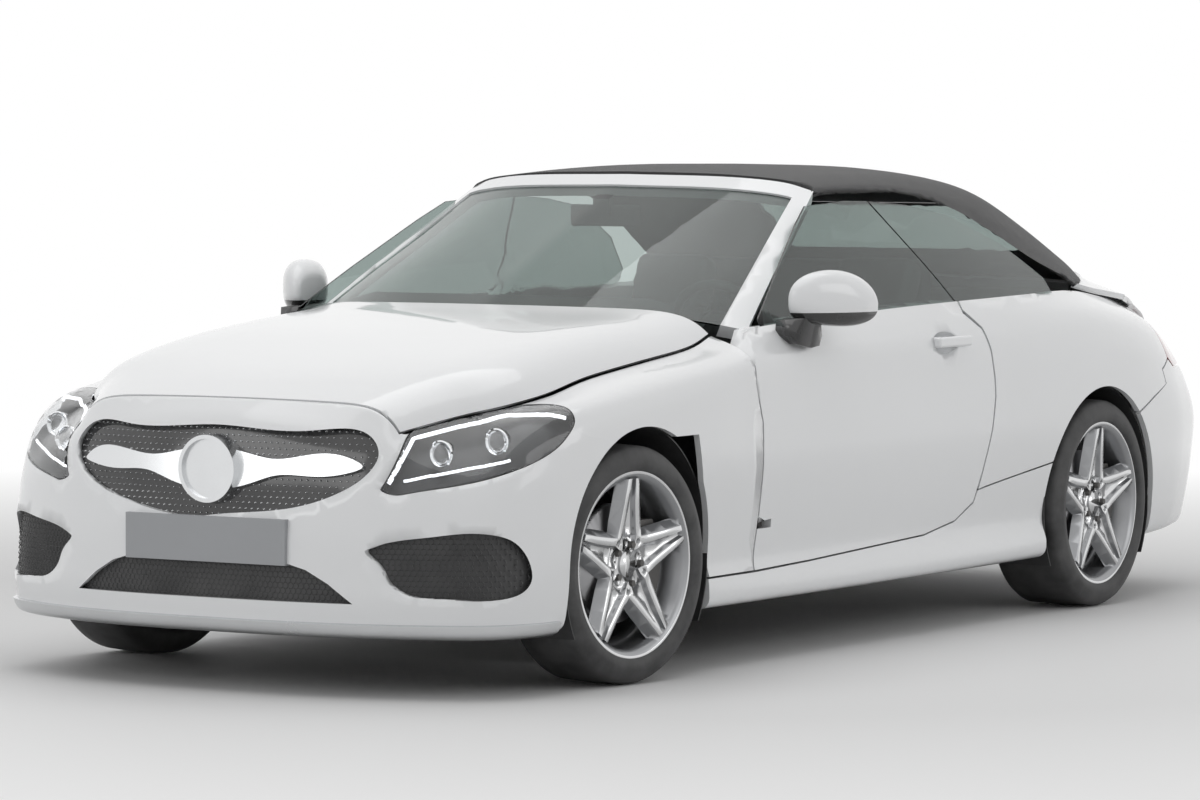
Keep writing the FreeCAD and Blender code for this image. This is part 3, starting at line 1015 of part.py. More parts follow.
def wheel(width, tyre_radius, tyre_width, outer_face):
    """Rim, tyre and brake disc about the X axis, outer face towards +X."""
    edge = outer_face
    inner_edge = edge - width
    well = edge - width / 2
    barrel = revolved([
        (edge, RIM_LIP_RADIUS), (edge, RIM_LIP_RADIUS - RIM_WALL),
        (edge - 2 * RIM_WALL, RIM_SEAT_RADIUS - RIM_WALL),
        (well + 4 * RIM_WALL, RIM_SEAT_RADIUS - RIM_WALL),
        (well + RIM_WALL, RIM_WELL_RADIUS - RIM_WALL),
        (well - 4 * RIM_WALL, RIM_WELL_RADIUS - RIM_WALL), (inner_edge, RIM_SEAT_RADIUS - RIM_WALL),
        (inner_edge, RIM_LIP_RADIUS), (inner_edge + RIM_WALL, RIM_LIP_RADIUS),
        (inner_edge + 2 * RIM_WALL, RIM_SEAT_RADIUS), (well - 4 * RIM_WALL, RIM_WELL_RADIUS),
        (well + RIM_WALL, RIM_WELL_RADIUS), (well + 4 * RIM_WALL, RIM_SEAT_RADIUS),
        (edge - 2 * RIM_WALL, RIM_SEAT_RADIUS), (edge - RIM_WALL, RIM_LIP_RADIUS)])
    hub_face = edge - SPOKE_SETBACK
    hub_back = hub_face - HUB_THICKNESS
    hub = cylinder(Vector(hub_back, 0, 0), X_AXIS, HUB_RADIUS, edge - HUB_SINK - hub_back)
    cap = cylinder(Vector(hub_back, 0, 0), X_AXIS, CAP_RADIUS, edge - FACE_SINK + CAP_PROUD - hub_back)
    pieces = [hub, cap]
    for k in range(SPOKE_COUNT):
        for leg in spoke(edge):
            leg.rotate(Vector(0, 0, 0), X_AXIS, 360 * k / SPOKE_COUNT)
            pieces.append(leg)
    rim = barrel.fuse(pieces)
    holes = [cylinder(Vector(inner_edge, 0, 0), X_AXIS, CENTRE_BORE_RADIUS + SPIGOT_CLEARANCE,
                      width - SPOKE_SETBACK - BORE_WALL)]
    holes.append(cylinder(Vector(inner_edge, 0, 0), X_AXIS, DISC_RADIUS + DISC_ROOM, hub_back - inner_edge))
    for k in range(SPOKE_COUNT):
        for share, distance, radius, start in (
                (0, BOLT_CIRCLE_RADIUS, BOLT_HOLE_RADIUS, hub_face - HUB_THICKNESS / 2),
                (HALF_TURN_SHARE, ISLAND_RADIUS, ISLAND_HOLE_RADIUS, edge - HUB_SINK)):
            angle = math.radians(360 * (k + share) / SPOKE_COUNT)
            at = Vector(start, distance * math.sin(angle), distance * math.cos(angle))
            holes.append(cylinder(at, X_AXIS, radius, HUB_THICKNESS))
    rim = main_solid(rim.cut(holes))
    middle = edge - width / 2
    half = tyre_width / 2
    gap = SEAT_CLEARANCE
    tyre = revolved([
        (middle - width / 2 + 2 * RIM_WALL + gap, RIM_SEAT_RADIUS + gap),
        (middle - width / 2 + RIM_WALL + gap, RIM_LIP_RADIUS + gap),
        (middle - width / 2, RIM_LIP_RADIUS + gap),
        (middle - half + RIM_WALL / 2, RIM_LIP_RADIUS + RIM_WALL),
        (middle - half, tyre_radius - SIDEWALL_BULGE),
        (middle - half + SHOULDER / 2, tyre_radius - SHOULDER / 2),
        (middle - half + SHOULDER, tyre_radius - TREAD_CROWN), (middle, tyre_radius),
        (middle + half - SHOULDER, tyre_radius - TREAD_CROWN),
        (middle + half - SHOULDER / 2, tyre_radius - SHOULDER / 2),
        (middle + half, tyre_radius - SIDEWALL_BULGE),
        (middle + half - RIM_WALL / 2, RIM_LIP_RADIUS + RIM_WALL),
        (middle + width / 2, RIM_LIP_RADIUS + gap),
        (middle + width / 2 - RIM_WALL - gap, RIM_LIP_RADIUS + gap),
        (middle + width / 2 - 2 * RIM_WALL - gap, RIM_SEAT_RADIUS + gap)])
    back = hub_face - HUB_THICKNESS
    disc = cylinder(Vector(back - DISC_HAT_DEPTH, 0, 0), X_AXIS, DISC_RADIUS, DISC_THICKNESS)
    disc = disc.fuse(cylinder(Vector(back - DISC_HAT_DEPTH, 0, 0), X_AXIS, DISC_HAT_RADIUS, DISC_HAT_DEPTH))
    disc = disc.cut(cylinder(Vector(back - DISC_HAT_DEPTH, 0, 0), X_AXIS, CENTRE_BORE_RADIUS + SPIGOT_CLEARANCE,
                             DISC_HAT_DEPTH))
    return rim, tyre, main_solid(disc)


HALF_TURN_SHARE = 0.5
SIDEWALL_BULGE = 42.0
SHOULDER = 24.0
TREAD_CROWN = 4.0
HUB_SINK = 32.0
BORE_WALL = 13.0
DISC_ROOM = 14.0
FACE_SINK = 26.0
CAP_RADIUS = 36.0
CAP_PROUD = 2.0
ISLAND_RADIUS = 76.0
ISLAND_HOLE_RADIUS = 6.0
WEB_SINK = 16.0
WEB_THICKNESS = 14.0

# Half a twin spoke: radius as a share of the bead seat's, angle as a share of half the pitch
SPOKE_FACE_SHARES = [(0.2, 1), (0.385, 1), (0.5, 0.64), (0.74, 0.31), (1, 0.16),
                     (1, 0.055), (0.72, 0.13), (0.46, 0.36), (0.36, 0.62), (0.26, 0.72)]
SPOKE_BACK_SHARES = [(0.2, 1), (0.47, 1), (0.58, 0.76), (0.8, 0.45), (1, 0.31),
                     (1, 0.03), (0.72, 0.06), (0.46, 0.22), (0.36, 0.4), (0.26, 0.5)]
WEB_SHARES = [(0.26, 0.7), (0.46, 0.34), (1, 0.05), (1, -0.05), (0.46, -0.34), (0.26, -0.7)]


def spoke(edge):
    """The twin legs of a spoke that close up towards the rim, with the sunk web between them."""
    slope = (FACE_SINK - CAP_PROUD) / RIM_SEAT_RADIUS
    pitch = math.pi / SPOKE_COUNT

    def corners(shares, sink):
        points = []
        for r, a in shares:
            reach = r * (RIM_SEAT_RADIUS - RIM_WALL / 2)
            high = reach * math.cos(a * pitch)
            points.append(Vector(edge - FACE_SINK + slope * high - sink, reach * math.sin(a * pitch), high))
        return points

    front = ring(corners(SPOKE_FACE_SHARES, 0))
    back = ring(corners(SPOKE_BACK_SHARES, SPOKE_THICKNESS))
    leg = Part.makeLoft([front, back], True, True)
    web = prism(corners(WEB_SHARES, WEB_SINK), Vector(-WEB_THICKNESS, 0, 0))
    twin = leg.mirror(Vector(0, 0, 0), Y_AXIS)
    return [leg, twin, web]


front_face = FRONT_TRACK / 2 + FRONT_RIM_WIDTH / 2
rear_face = REAR_TRACK / 2 + REAR_RIM_WIDTH / 2
front_set = wheel(FRONT_RIM_WIDTH, FRONT_TYRE_RADIUS, FRONT_TYRE_WIDTH, front_face)
rear_set = wheel(REAR_RIM_WIDTH, REAR_TYRE_RADIUS, REAR_TYRE_WIDTH, rear_face)
kingpin_x = FRONT_TRACK / 2 - KINGPIN_INSET


def set_down(shape, y, z, right, steered):
    shape = shape.copy()
    if right:
        shape = mirrored(shape)
    shape.translate(Vector(0, y, z))
    if steered:
        sign = -1 if right else 1
        shape.rotate(Vector(sign * kingpin_x, y, z), Z_AXIS, -STEER_ANGLE)
    return shape


for name, right in (("left", False), ("right", True)):
    for kind, shape in zip(("rim", "tyre", "brake_disc"), front_set):
        save(kind + "_front_" + name, set_down(shape, FRONT_AXLE_Y, FRONT_HUB_Z, right, True))
    for kind, shape in zip(("rim", "tyre", "brake_disc"), rear_set):
        save(kind + "_rear_" + name, set_down(shape, REAR_AXLE_Y, REAR_HUB_Z, right, False))

# Front uprights: spigot, carrier and caliper, turning about the steering axis
hub_back = front_face - SPOKE_SETBACK - HUB_THICKNESS
disc_back = hub_back - DISC_HAT_DEPTH
UPRIGHT_HEIGHT = 180.0
UPRIGHT_THICKNESS = 40.0
BALL_RADIUS = 18.0
SPIGOT_END = 12.0


def upright(back, z_centre):
    spigot = cylinder(Vector(back - UPRIGHT_THICKNESS - CALIPER_GAP, 0, 0), X_AXIS, CENTRE_BORE_RADIUS,
                      DISC_HAT_DEPTH + HUB_THICKNESS / 2 + UPRIGHT_THICKNESS + CALIPER_GAP)
    plate = box(back - CALIPER_GAP - UPRIGHT_THICKNESS, back - CALIPER_GAP, -HUB_RADIUS / 2, HUB_RADIUS / 2,
                -UPRIGHT_HEIGHT / 2, UPRIGHT_HEIGHT / 2)
    body = spigot.fuse(plate)
    inner = DISC_HAT_RADIUS + CALIPER_GAP
    outer = DISC_RADIUS + CALIPER_GAP + UPRIGHT_THICKNESS / 2
    x0 = back - CALIPER_GAP - UPRIGHT_THICKNESS
    x1 = back + DISC_THICKNESS + CALIPER_GAP + UPRIGHT_THICKNESS / 5
    pad = cylinder(Vector(x0, 0, 0), X_AXIS, outer, x1 - x0)
    pad = pad.cut(cylinder(Vector(x0, 0, 0), X_AXIS, inner, x1 - x0))
    slot = cylinder(Vector(back - CALIPER_GAP, 0, 0), X_AXIS, DISC_RADIUS + CALIPER_GAP,
                    DISC_THICKNESS + 2 * CALIPER_GAP)
    pad = pad.cut(slot)
    sector = box(x0, x1, inner / 2, outer, -CALIPER_LENGTH / 2, CALIPER_LENGTH / 2)
    pad = pad.common(sector)
    arm = box(x0, back - CALIPER_GAP, 0, inner + CALIPER_GAP, -UPRIGHT_THICKNESS / 2, UPRIGHT_THICKNESS / 2)
    return main_solid(body.fuse(pad).fuse(arm))


SWIVEL_PIN_RADIUS = 10.0
LUG_HEIGHT = 30.0
subframe_z = up(0.1455)
swivel_low = subframe_z - FRONT_HUB_Z
SWIVEL_PIN_LENGTH = FRONT_HUB_Z - UPRIGHT_HEIGHT / 2 - subframe_z + LUG_HEIGHT
lug = box(kingpin_x - 2 * SWIVEL_PIN_RADIUS, disc_back - CALIPER_GAP, -2 * SWIVEL_PIN_RADIUS, 2 * SWIVEL_PIN_RADIUS,
          -UPRIGHT_HEIGHT / 2, -UPRIGHT_HEIGHT / 2 + LUG_HEIGHT)
knuckle = upright(disc_back, FRONT_HUB_Z).fuse(lug)
knuckle = main_solid(knuckle.cut(cylinder(Vector(kingpin_x, 0, -UPRIGHT_HEIGHT), Z_AXIS, SWIVEL_PIN_RADIUS + PIN_CLEARANCE,
                                          UPRIGHT_HEIGHT / 2 + LUG_HEIGHT + SEAT_CLEARANCE)))
save("knuckle_left", set_down(knuckle, FRONT_AXLE_Y, FRONT_HUB_Z, False, True))
save("knuckle_right", set_down(knuckle, FRONT_AXLE_Y, FRONT_HUB_Z, True, True))

# Front cross-member with its arms, and the rear axle with its carriers
SUBFRAME_HALF = 330.0
SUBFRAME_LENGTH = 300.0
subframe = box(-SUBFRAME_HALF, SUBFRAME_HALF, FRONT_AXLE_Y - SUBFRAME_LENGTH / 2,
               FRONT_AXLE_Y + SUBFRAME_LENGTH / 2, subframe_z - ARM_THICKNESS, subframe_z)
knuckle_inner = kingpin_x + 2 * SWIVEL_PIN_RADIUS
arm = box(0, knuckle_inner, FRONT_AXLE_Y - ARM_THICKNESS, FRONT_AXLE_Y + ARM_THICKNESS,
          subframe_z - ARM_THICKNESS, subframe_z)
subframe = subframe.fuse(arm).fuse(mirrored(arm))
tower = box(RAIL_INNER, RAIL_INNER + RAIL_WIDTH, FRONT_AXLE_Y - RAIL_WIDTH, FRONT_AXLE_Y + RAIL_WIDTH,
            subframe_z - ARM_THICKNESS, up(RAIL_TOP_SHARE) - RAIL_HEIGHT)
pin = cylinder(Vector(kingpin_x, FRONT_AXLE_Y, subframe_z - ARM_THICKNESS), Z_AXIS, SWIVEL_PIN_RADIUS,
               ARM_THICKNESS + SWIVEL_PIN_LENGTH)
subframe = subframe.fuse(tower).fuse(mirrored(tower)).fuse(pin).fuse(mirrored(pin))
save("front_subframe", main_solid(subframe))
ENGINE_HALF = 270.0
ENGINE_FRONT = 330.0
ENGINE_REAR = 250.0
ENGINE_TOP_SHARE = 0.5678
engine = box(-ENGINE_HALF, ENGINE_HALF, FRONT_AXLE_Y - ENGINE_FRONT, FRONT_AXLE_Y + ENGINE_REAR,
             subframe_z + SEAT_CLEARANCE, up(ENGINE_TOP_SHARE))
save("engine_block", engine)
rear_back = rear_face - SPOKE_SETBACK - HUB_THICKNESS - DISC_HAT_DEPTH
rear_hub = set_down(upright(rear_back, REAR_HUB_Z), REAR_AXLE_Y, REAR_HUB_Z, False, False)
rear_upright_inner = rear_back - CALIPER_GAP - UPRIGHT_THICKNESS
DIFFERENTIAL_RADIUS = 120.0
DIFFERENTIAL_LENGTH = 260.0
axle = cylinder(Vector(-rear_upright_inner, REAR_AXLE_Y, REAR_HUB_Z), X_AXIS, AXLE_RADIUS, 2 * rear_upright_inner)
axle = axle.fuse(cylinder(Vector(-DIFFERENTIAL_LENGTH / 2, REAR_AXLE_Y, REAR_HUB_Z), X_AXIS, DIFFERENTIAL_RADIUS,
                          DIFFERENTIAL_LENGTH))
axle = axle.fuse(rear_hub).fuse(mirrored(rear_hub))
save("rear_axle", main_solid(axle))

# Exhaust under the floor
EXHAUST_RADIUS = 32.0
EXHAUST_X = 120.0
SILENCER_HALF = 260.0
SILENCER_LENGTH = 240.0
SILENCER_THICKNESS = 130.0
exhaust_z = floor_z - FLOOR_THICKNESS - EXHAUST_RADIUS - SEAT_CLEARANCE
silencer_y = REAR_AXLE_Y + DIFFERENTIAL_RADIUS + SILENCER_LENGTH / 2
pipe = cylinder(Vector(EXHAUST_X, along(FLOOR_FRONT_SHARE), exhaust_z), Y_AXIS, EXHAUST_RADIUS, silencer_y + SILENCER_LENGTH - along(FLOOR_FRONT_SHARE))
silencer = box(-SILENCER_HALF, SILENCER_HALF, silencer_y + SILENCER_LENGTH / 2, silencer_y + 3 * SILENCER_LENGTH / 2,
               exhaust_z - EXHAUST_RADIUS, boot_floor_z - FLOOR_THICKNESS - SEAT_CLEARANCE)
save("exhaust", main_solid(pipe.fuse(silencer)))

# Door mirrors and handles
MIRROR_CENTRE_SHARE = (1.0077, 0.3592, 0.731)
MIRROR_SECTION_SHARES = [
    (0.9414, 0.3134, 0.3556, 0.6991, 0.7523), (0.9635, 0.307, 0.3732, 0.6856, 0.7793),
    (1.011, 0.3141, 0.3891, 0.6792, 0.7921), (1.0552, 0.3303, 0.3996, 0.6771, 0.7864),
    (1.0917, 0.3539, 0.4049, 0.6828, 0.7651), (1.1133, 0.3785, 0.4014, 0.6998, 0.7339),
]
MIRROR_POINTS = 14
MIRROR_ROUNDNESS = 0.75
mirror_centre = place(MIRROR_CENTRE_SHARE)


def ellipsoid(centre, a, b, c):
    ball = Part.makeSphere(1)
    matrix = FreeCAD.Matrix()
    matrix.scale(a, b, c)
    ball = ball.transformGeometry(matrix)
    ball.translate(centre)
    return ball


def rounded(value):
    """A sine or cosine pushed out towards a square."""
    return math.copysign(abs(value) ** MIRROR_ROUNDNESS, value)


mirror_wires = []
for x, y0, y1, z0, z1 in MIRROR_SECTION_SHARES:
    points = []
    for k in range(MIRROR_POINTS):
        angle = 2 * math.pi * k / MIRROR_POINTS
        middle_y = (along(y0) + along(y1)) / 2
        middle_z = (up(z0) + up(z1)) / 2
        points.append(Vector(out(x), middle_y + rounded(math.cos(angle)) * (along(y1) - along(y0)) / 2,
                             middle_z + rounded(math.sin(angle)) * (up(z1) - up(z0)) / 2))
    mirror_wires.append(ring(points, True))
housing = Part.makeLoft(mirror_wires, True, False)
MIRROR_FOOT_SHARES = [(0.2993, 0.692), (0.2979, 0.66), (0.307, 0.643), (0.331, 0.6338), (0.3468, 0.6373),
                      (0.3521, 0.6565), (0.3493, 0.6991)]
MIRROR_FOOT_OUTER = 900.0
MIRROR_FOOT_INNER = 832.0
foot_points = [Vector(MIRROR_FOOT_INNER, along(a), up(b)) for a, b in MIRROR_FOOT_SHARES]
foot = prism(foot_points, Vector(MIRROR_FOOT_OUTER - MIRROR_FOOT_INNER, 0, 0))
mirror_body = main_solid(main_solid(housing.fuse(foot)).cut(door))
save("door_mirror_left", mirror_body)
save("door_mirror_right", mirrored(mirror_body))
HANDLE_SHARE = (0.6426, 0.6246)
HANDLE_LENGTH = 205.0
HANDLE_HEIGHT = 32.0
HANDLE_PROUD = 24.0
DISH_DEPTH = 20.0
DISH_LENGTH = 150.0
DISH_HEIGHT = 72.0
handle_y = along(HANDLE_SHARE[0])
handle_z = up(HANDLE_SHARE[1])
handle_x = skin_x(handle_y, handle_z)
handle = box(handle_x - HANDLE_PROUD, handle_x + HANDLE_PROUD, handle_y - HANDLE_LENGTH / 2,
             handle_y + HANDLE_LENGTH / 2, handle_z - HANDLE_HEIGHT / 2, handle_z + HANDLE_HEIGHT / 2)
handle = handle.makeFillet(HANDLE_HEIGHT / 4, handle.Edges)
dish_centre = Vector(handle_x, along(0.632), handle_z)
dish = ellipsoid(dish_centre, DISH_DEPTH, DISH_LENGTH / 2, DISH_HEIGHT / 2)
handle = handle.cut(ellipsoid(dish_centre - X_AXIS * HANDLE_PROUD / 2, DISH_DEPTH, DISH_LENGTH / 2, DISH_HEIGHT / 2))
handle = main_solid(handle.cut(door))
door = main_solid(door.cut(dish))
save("door_left", door)
save("door_right", mirrored(door))
save("door_handle_left", handle)
save("door_handle_right", mirrored(handle))

# Hinges: fixed brackets with their pins, and the swinging goosenecks of bonnet and lid
BONNET_AXIS_SHARE = (0.2465, 0.66)
BONNET_ARM_X = 600.0
LID_ARM_X = 420.0
BONNET_ARM_SHARES = [(0.2518, 0.6671), (0.2518, 0.6515), (0.243, 0.6246), (0.2218, 0.6246), (0.1972, 0.6636),
                     (0.1408, 0.6565), (0.1408, 0.6991), (0.1954, 0.6991), (0.2254, 0.6388),
                     (0.2377, 0.6388),
                     (0.243, 0.6671)]
LID_ARM_SHARES = [(1.4844, 0.6899), (1.4882, 0.616), (1.5212, 0.5976), (1.6091, 0.5976), (1.6563, 0.6189),
                  (1.6856, 0.6742), (1.7554, 0.6778), (1.7554, 0.7062), (1.6657, 0.7062),
                  (1.6346, 0.6317),
                  (1.5996, 0.6153), (1.5326, 0.6153), (1.5127, 0.626), (1.5071, 0.6899)]


def hinge_arm(shares, axis, x, skin):
    """Gooseneck cut to seat under its lid, bored for its pin."""
    points = [Vector(x - LID_HINGE_WIDTH / 2, along(a), up(b)) for a, b in shares]
    arm = prism(points, Vector(LID_HINGE_WIDTH, 0, 0))
    eye = cylinder(Vector(x - LID_HINGE_WIDTH / 2, along(axis[0]), up(axis[1])), X_AXIS, 2 * HINGE_PIN_RADIUS, LID_HINGE_WIDTH)
    arm = arm.fuse(eye)
    hole = cylinder(Vector(x - LID_HINGE_WIDTH, along(axis[0]), up(axis[1])), X_AXIS, HINGE_PIN_RADIUS + PIN_CLEARANCE,
                    2 * LID_HINGE_WIDTH)
    return main_solid(arm.cut(hole).cut(skin))


bonnet_arm = hinge_arm(BONNET_ARM_SHARES, BONNET_AXIS_SHARE, BONNET_ARM_X, bonnet)
save("bonnet_hinge_arms", both(bonnet_arm))
lid_arm = hinge_arm(LID_ARM_SHARES, LID_AXIS_SHARE, LID_ARM_X, lid)
save("lid_hinge_arms", both(lid_arm))


def fixed_pin(axis, x, foot_z, way):
    """Pin with the bracket that carries it beside the arm, inside (-1) or outside (1)."""
    y = along(axis[0])
    z = up(axis[1])
    near = x + way * LID_HINGE_WIDTH
    far = near + way * LID_HINGE_WIDTH
    pin = cylinder(Vector(far, y, z), X_AXIS * -way, HINGE_PIN_RADIUS, 5 * LID_HINGE_WIDTH / 2)
    leg = box(min(near, far), max(near, far), y - 2 * HINGE_PIN_RADIUS, y + 2 * HINGE_PIN_RADIUS, foot_z,
              z + HINGE_PIN_RADIUS)
    return pin.fuse(leg)


bonnet_pin = fixed_pin(BONNET_AXIS_SHARE, BONNET_ARM_X, up(FIREWALL_TOP_SHARE), -1)
lid_pin = fixed_pin(LID_AXIS_SHARE, LID_ARM_X, strut_z1, 1)
save("hinge_brackets", both(Part.makeCompound(door_pins + [bonnet_pin, lid_pin])))

# Cowl under the screen's base
BONNET_SWING_STEP = 5.0
BONNET_SWING_STEPS = 4
COWL_SHARES = [(0.2113, 0.5962), (0.2113, 0.6991), (0.2606, 0.731), (0.2606, 0.6955), (0.2254, 0.6671), (0.2254, 0.5962)]
cowl_points = [Vector(-SILL_INNER, along(a), up(b)) for a, b in COWL_SHARES]
cowl = prism(cowl_points, Vector(2 * SILL_INNER, 0, 0))
screen_space = sheet(screen_full, steps(-3, 3, 31), steps(0, 1, 9), -PILLAR_DEPTH, TRIM_THICKNESS / 2 + SCREEN_THICKNESS + SEAT_CLEARANCE)
bonnet_space = sheet(bonnet_point, steps(-1, 1, 49), steps(6, 7, 9), -2 * LID_THICKNESS, LID_THICKNESS + SHUT_GAP)
cowl = cowl.cut(bonnet_space)
bonnet_axis = Vector(0, along(BONNET_AXIS_SHARE[0]), up(BONNET_AXIS_SHARE[1]))
for turn in steps(BONNET_SWING_STEP, BONNET_SWING_STEP * BONNET_SWING_STEPS, BONNET_SWING_STEPS):
    swung = bonnet_space.copy()
    swung.rotate(bonnet_axis, X_AXIS, -turn)
    cowl = main_solid(cowl.cut(swung))
cowl = cowl.cut(screen_space).cut(frame)
for sign in (-1, 1):
    cowl = cowl.cut(box(sign * BONNET_ARM_X - 3 * LID_HINGE_WIDTH, sign * BONNET_ARM_X + 3 * LID_HINGE_WIDTH, along(0), along(1),
                        0, OVERALL_HEIGHT))
save("cowl_panel", main_solid(cowl))

# Dashboard, console, column and steering wheel
DASH_SHARES = [(0.243, 0.6388), (0.2746, 0.6849), (0.3592, 0.6742), (0.3944, 0.6246), (0.3873, 0.5252),
               (0.338, 0.4542), (0.243, 0.4258)]
DASH_HALF = 640.0
dash_room_y = along(0.2676)
dash_points = [Vector(-DASH_HALF, along(a), up(b)) for a, b in DASH_SHARES]
dash = prism(dash_points, Vector(2 * DASH_HALF, 0, 0))
for sign in (-1, 1):
    dash = dash.cut(box(sign * BONNET_ARM_X - 4 * LID_HINGE_WIDTH, sign * BONNET_ARM_X + 4 * LID_HINGE_WIDTH, along(0), dash_room_y,
                        0, OVERALL_HEIGHT))
dash_z = up(DASH_SHARES[-1][1])
WHEEL_CENTRE_SHARE = (0.4754, 0.6388)
wheel_centre = Vector(SEAT_OFFSET, along(WHEEL_CENTRE_SHARE[0]), up(WHEEL_CENTRE_SHARE[1]))
lean = math.radians(COLUMN_ANGLE)
column_axis = Vector(0, math.cos(lean), math.sin(lean))
COLUMN_LENGTH = 420.0
WHEEL_HUB_RADIUS = 85.0
WHEEL_HUB_THICKNESS = 50.0
shaft = cylinder(wheel_centre - column_axis * COLUMN_LENGTH, column_axis, COLUMN_RADIUS, COLUMN_LENGTH)
shroud = cylinder(wheel_centre - column_axis * COLUMN_LENGTH, column_axis, 2 * COLUMN_RADIUS,
                  COLUMN_LENGTH - 2 * WHEEL_HUB_THICKNESS)
dash = main_solid(dash.fuse(shaft).fuse(shroud))
save("dashboard", dash)
torus = Part.makeTorus(STEERING_WHEEL_RADIUS - STEERING_RIM_RADIUS, STEERING_RIM_RADIUS, wheel_centre, column_axis)
hub = cylinder(wheel_centre - column_axis * WHEEL_HUB_THICKNESS / 2, column_axis, WHEEL_HUB_RADIUS, WHEEL_HUB_THICKNESS)
spoke_bar = box(-STEERING_WHEEL_RADIUS + STEERING_RIM_RADIUS, STEERING_WHEEL_RADIUS - STEERING_RIM_RADIUS,
                -STEERING_RIM_RADIUS, STEERING_RIM_RADIUS, -STEERING_RIM_RADIUS / 2, STEERING_RIM_RADIUS / 2)
low_bar = box(-STEERING_RIM_RADIUS, STEERING_RIM_RADIUS, -STEERING_WHEEL_RADIUS + STEERING_RIM_RADIUS, 0,
              -STEERING_RIM_RADIUS / 2, STEERING_RIM_RADIUS / 2)
bars = spoke_bar.fuse(low_bar)
bars.rotate(Vector(0, 0, 0), X_AXIS, COLUMN_ANGLE - 90)
bars.rotate(Vector(0, 0, 0), column_axis, -STEER_ANGLE * STEERING_RATIO)
bars.translate(wheel_centre)
steering_wheel = torus.fuse(hub).fuse(bars)
steering_wheel = steering_wheel.cut(cylinder(wheel_centre - column_axis * WHEEL_HUB_THICKNESS, column_axis,
                                             COLUMN_RADIUS + PIN_CLEARANCE, WHEEL_HUB_THICKNESS + SEAT_CLEARANCE))
save("steering_wheel", main_solid(steering_wheel))
CONSOLE_WIDTH = 220.0
CONSOLE_SHARES = [(0.3521, 0.1739), (0.3521, 0.4507), (0.4366, 0.3974), (0.669, 0.3833), (0.7254, 0.3549),
                  (0.7254, 0.1739)]
console_points = [Vector(-CONSOLE_WIDTH / 2, along(a), max(up(b), floor_z)) for a, b in CONSOLE_SHARES]
console = prism(console_points, Vector(CONSOLE_WIDTH, 0, 0)).cut(dash)
save("centre_console", main_solid(console))

# Seats
SEAT_FRONT_SHARE = 0.5211
SEAT_BASE_Z_SHARE = 0.2839
seat_y = along(SEAT_FRONT_SHARE)
seat_z = up(SEAT_BASE_Z_SHARE)
SEAT_ROUND = 35.0
HEADREST_POST = 45.0


def padded_box(width, length, height, radius):
    pad = Part.makeBox(width, length, height, Vector(-width / 2, 0, 0))
    return pad.makeFillet(radius, pad.Edges)


def front_seat():
    base = box(-SEAT_WIDTH / 3, SEAT_WIDTH / 3, seat_y, seat_y + CUSHION_LENGTH, floor_z, seat_z - SEAT_CLEARANCE)
    cushion = padded_box(SEAT_WIDTH, CUSHION_LENGTH, CUSHION_HEIGHT, SEAT_ROUND)
    cushion.translate(Vector(0, seat_y, seat_z))
    pivot = Vector(0, seat_y + CUSHION_LENGTH + SEAT_CLEARANCE, seat_z)
    back = padded_box(SEAT_WIDTH, BACKREST_THICKNESS, BACKREST_HEIGHT, SEAT_ROUND)
    head = padded_box(HEADREST_WIDTH, HEADREST_THICKNESS, HEADREST_HEIGHT, SEAT_ROUND)
    head.translate(Vector(0, 0, BACKREST_HEIGHT + SEAT_CLEARANCE))
    for piece in (back, head):
        piece.translate(pivot)
        piece.rotate(pivot, X_AXIS, -BACKREST_ANGLE)
    return [base, cushion, back, head]


seat_pieces = []
for piece in front_seat():
    for sign in (-1, 1):
        moved = piece.copy()
        moved.translate(Vector(sign * SEAT_OFFSET, 0, 0))
        seat_pieces.append(moved)
save("front_seats", Part.makeCompound(seat_pieces))
REAR_SEAT_FRONT_SHARE = 0.7746
REAR_SEAT_HALF = 410.0
rear_seat_y = along(REAR_SEAT_FRONT_SHARE)
rear_cushion = padded_box(2 * REAR_SEAT_HALF, rear_wall_y - rear_seat_y - BACKREST_THICKNESS, up(0.1419), SEAT_ROUND)
rear_cushion.translate(Vector(0, rear_seat_y, floor_z + SEAT_CLEARANCE))
rear_back = padded_box(2 * REAR_SEAT_HALF, BACKREST_THICKNESS - 2 * SEAT_CLEARANCE, BACKREST_HEIGHT, SEAT_ROUND)
rear_back.translate(Vector(0, rear_wall_y - BACKREST_THICKNESS + SEAT_CLEARANCE, boot_floor_z))
rear_back = rear_back.cut(tub)
rear_cushion = rear_cushion.cut(tub)
save("rear_seat", Part.makeCompound([main_solid(rear_cushion), main_solid(rear_back)]))

# Rear-view mirror with its sensor housing on the screen
INNER_MIRROR_SHARE = (0, 0.4472, 0.8907)
INNER_MIRROR_WIDTH = 240.0
INNER_MIRROR_HEIGHT = 65.0
INNER_MIRROR_DEPTH = 28.0
inner_mirror_at = place(INNER_MIRROR_SHARE)
inner_mirror = padded_box(INNER_MIRROR_WIDTH, INNER_MIRROR_DEPTH, INNER_MIRROR_HEIGHT, INNER_MIRROR_DEPTH / 3)
inner_mirror.translate(inner_mirror_at - Vector(0, INNER_MIRROR_DEPTH / 2, INNER_MIRROR_HEIGHT / 2))
sensor = box(-INNER_MIRROR_DEPTH, INNER_MIRROR_DEPTH, inner_mirror_at.y - INNER_MIRROR_DEPTH, inner_mirror_at.y, inner_mirror_at.z,
             inner_mirror_at.z + 2 * INNER_MIRROR_HEIGHT)
inner_mirror = inner_mirror.fuse(sensor).cut(sheet(screen_full, steps(-2.6, 2.6, 21), steps(.03, 2.8, 17), -2 * PILLAR_DEPTH,
                                                   TRIM_THICKNESS / 2 + SCREEN_THICKNESS))
inner_mirror = inner_mirror.cut(frame)
save("interior_mirror", main_solid(inner_mirror))
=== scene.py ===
import json
import math

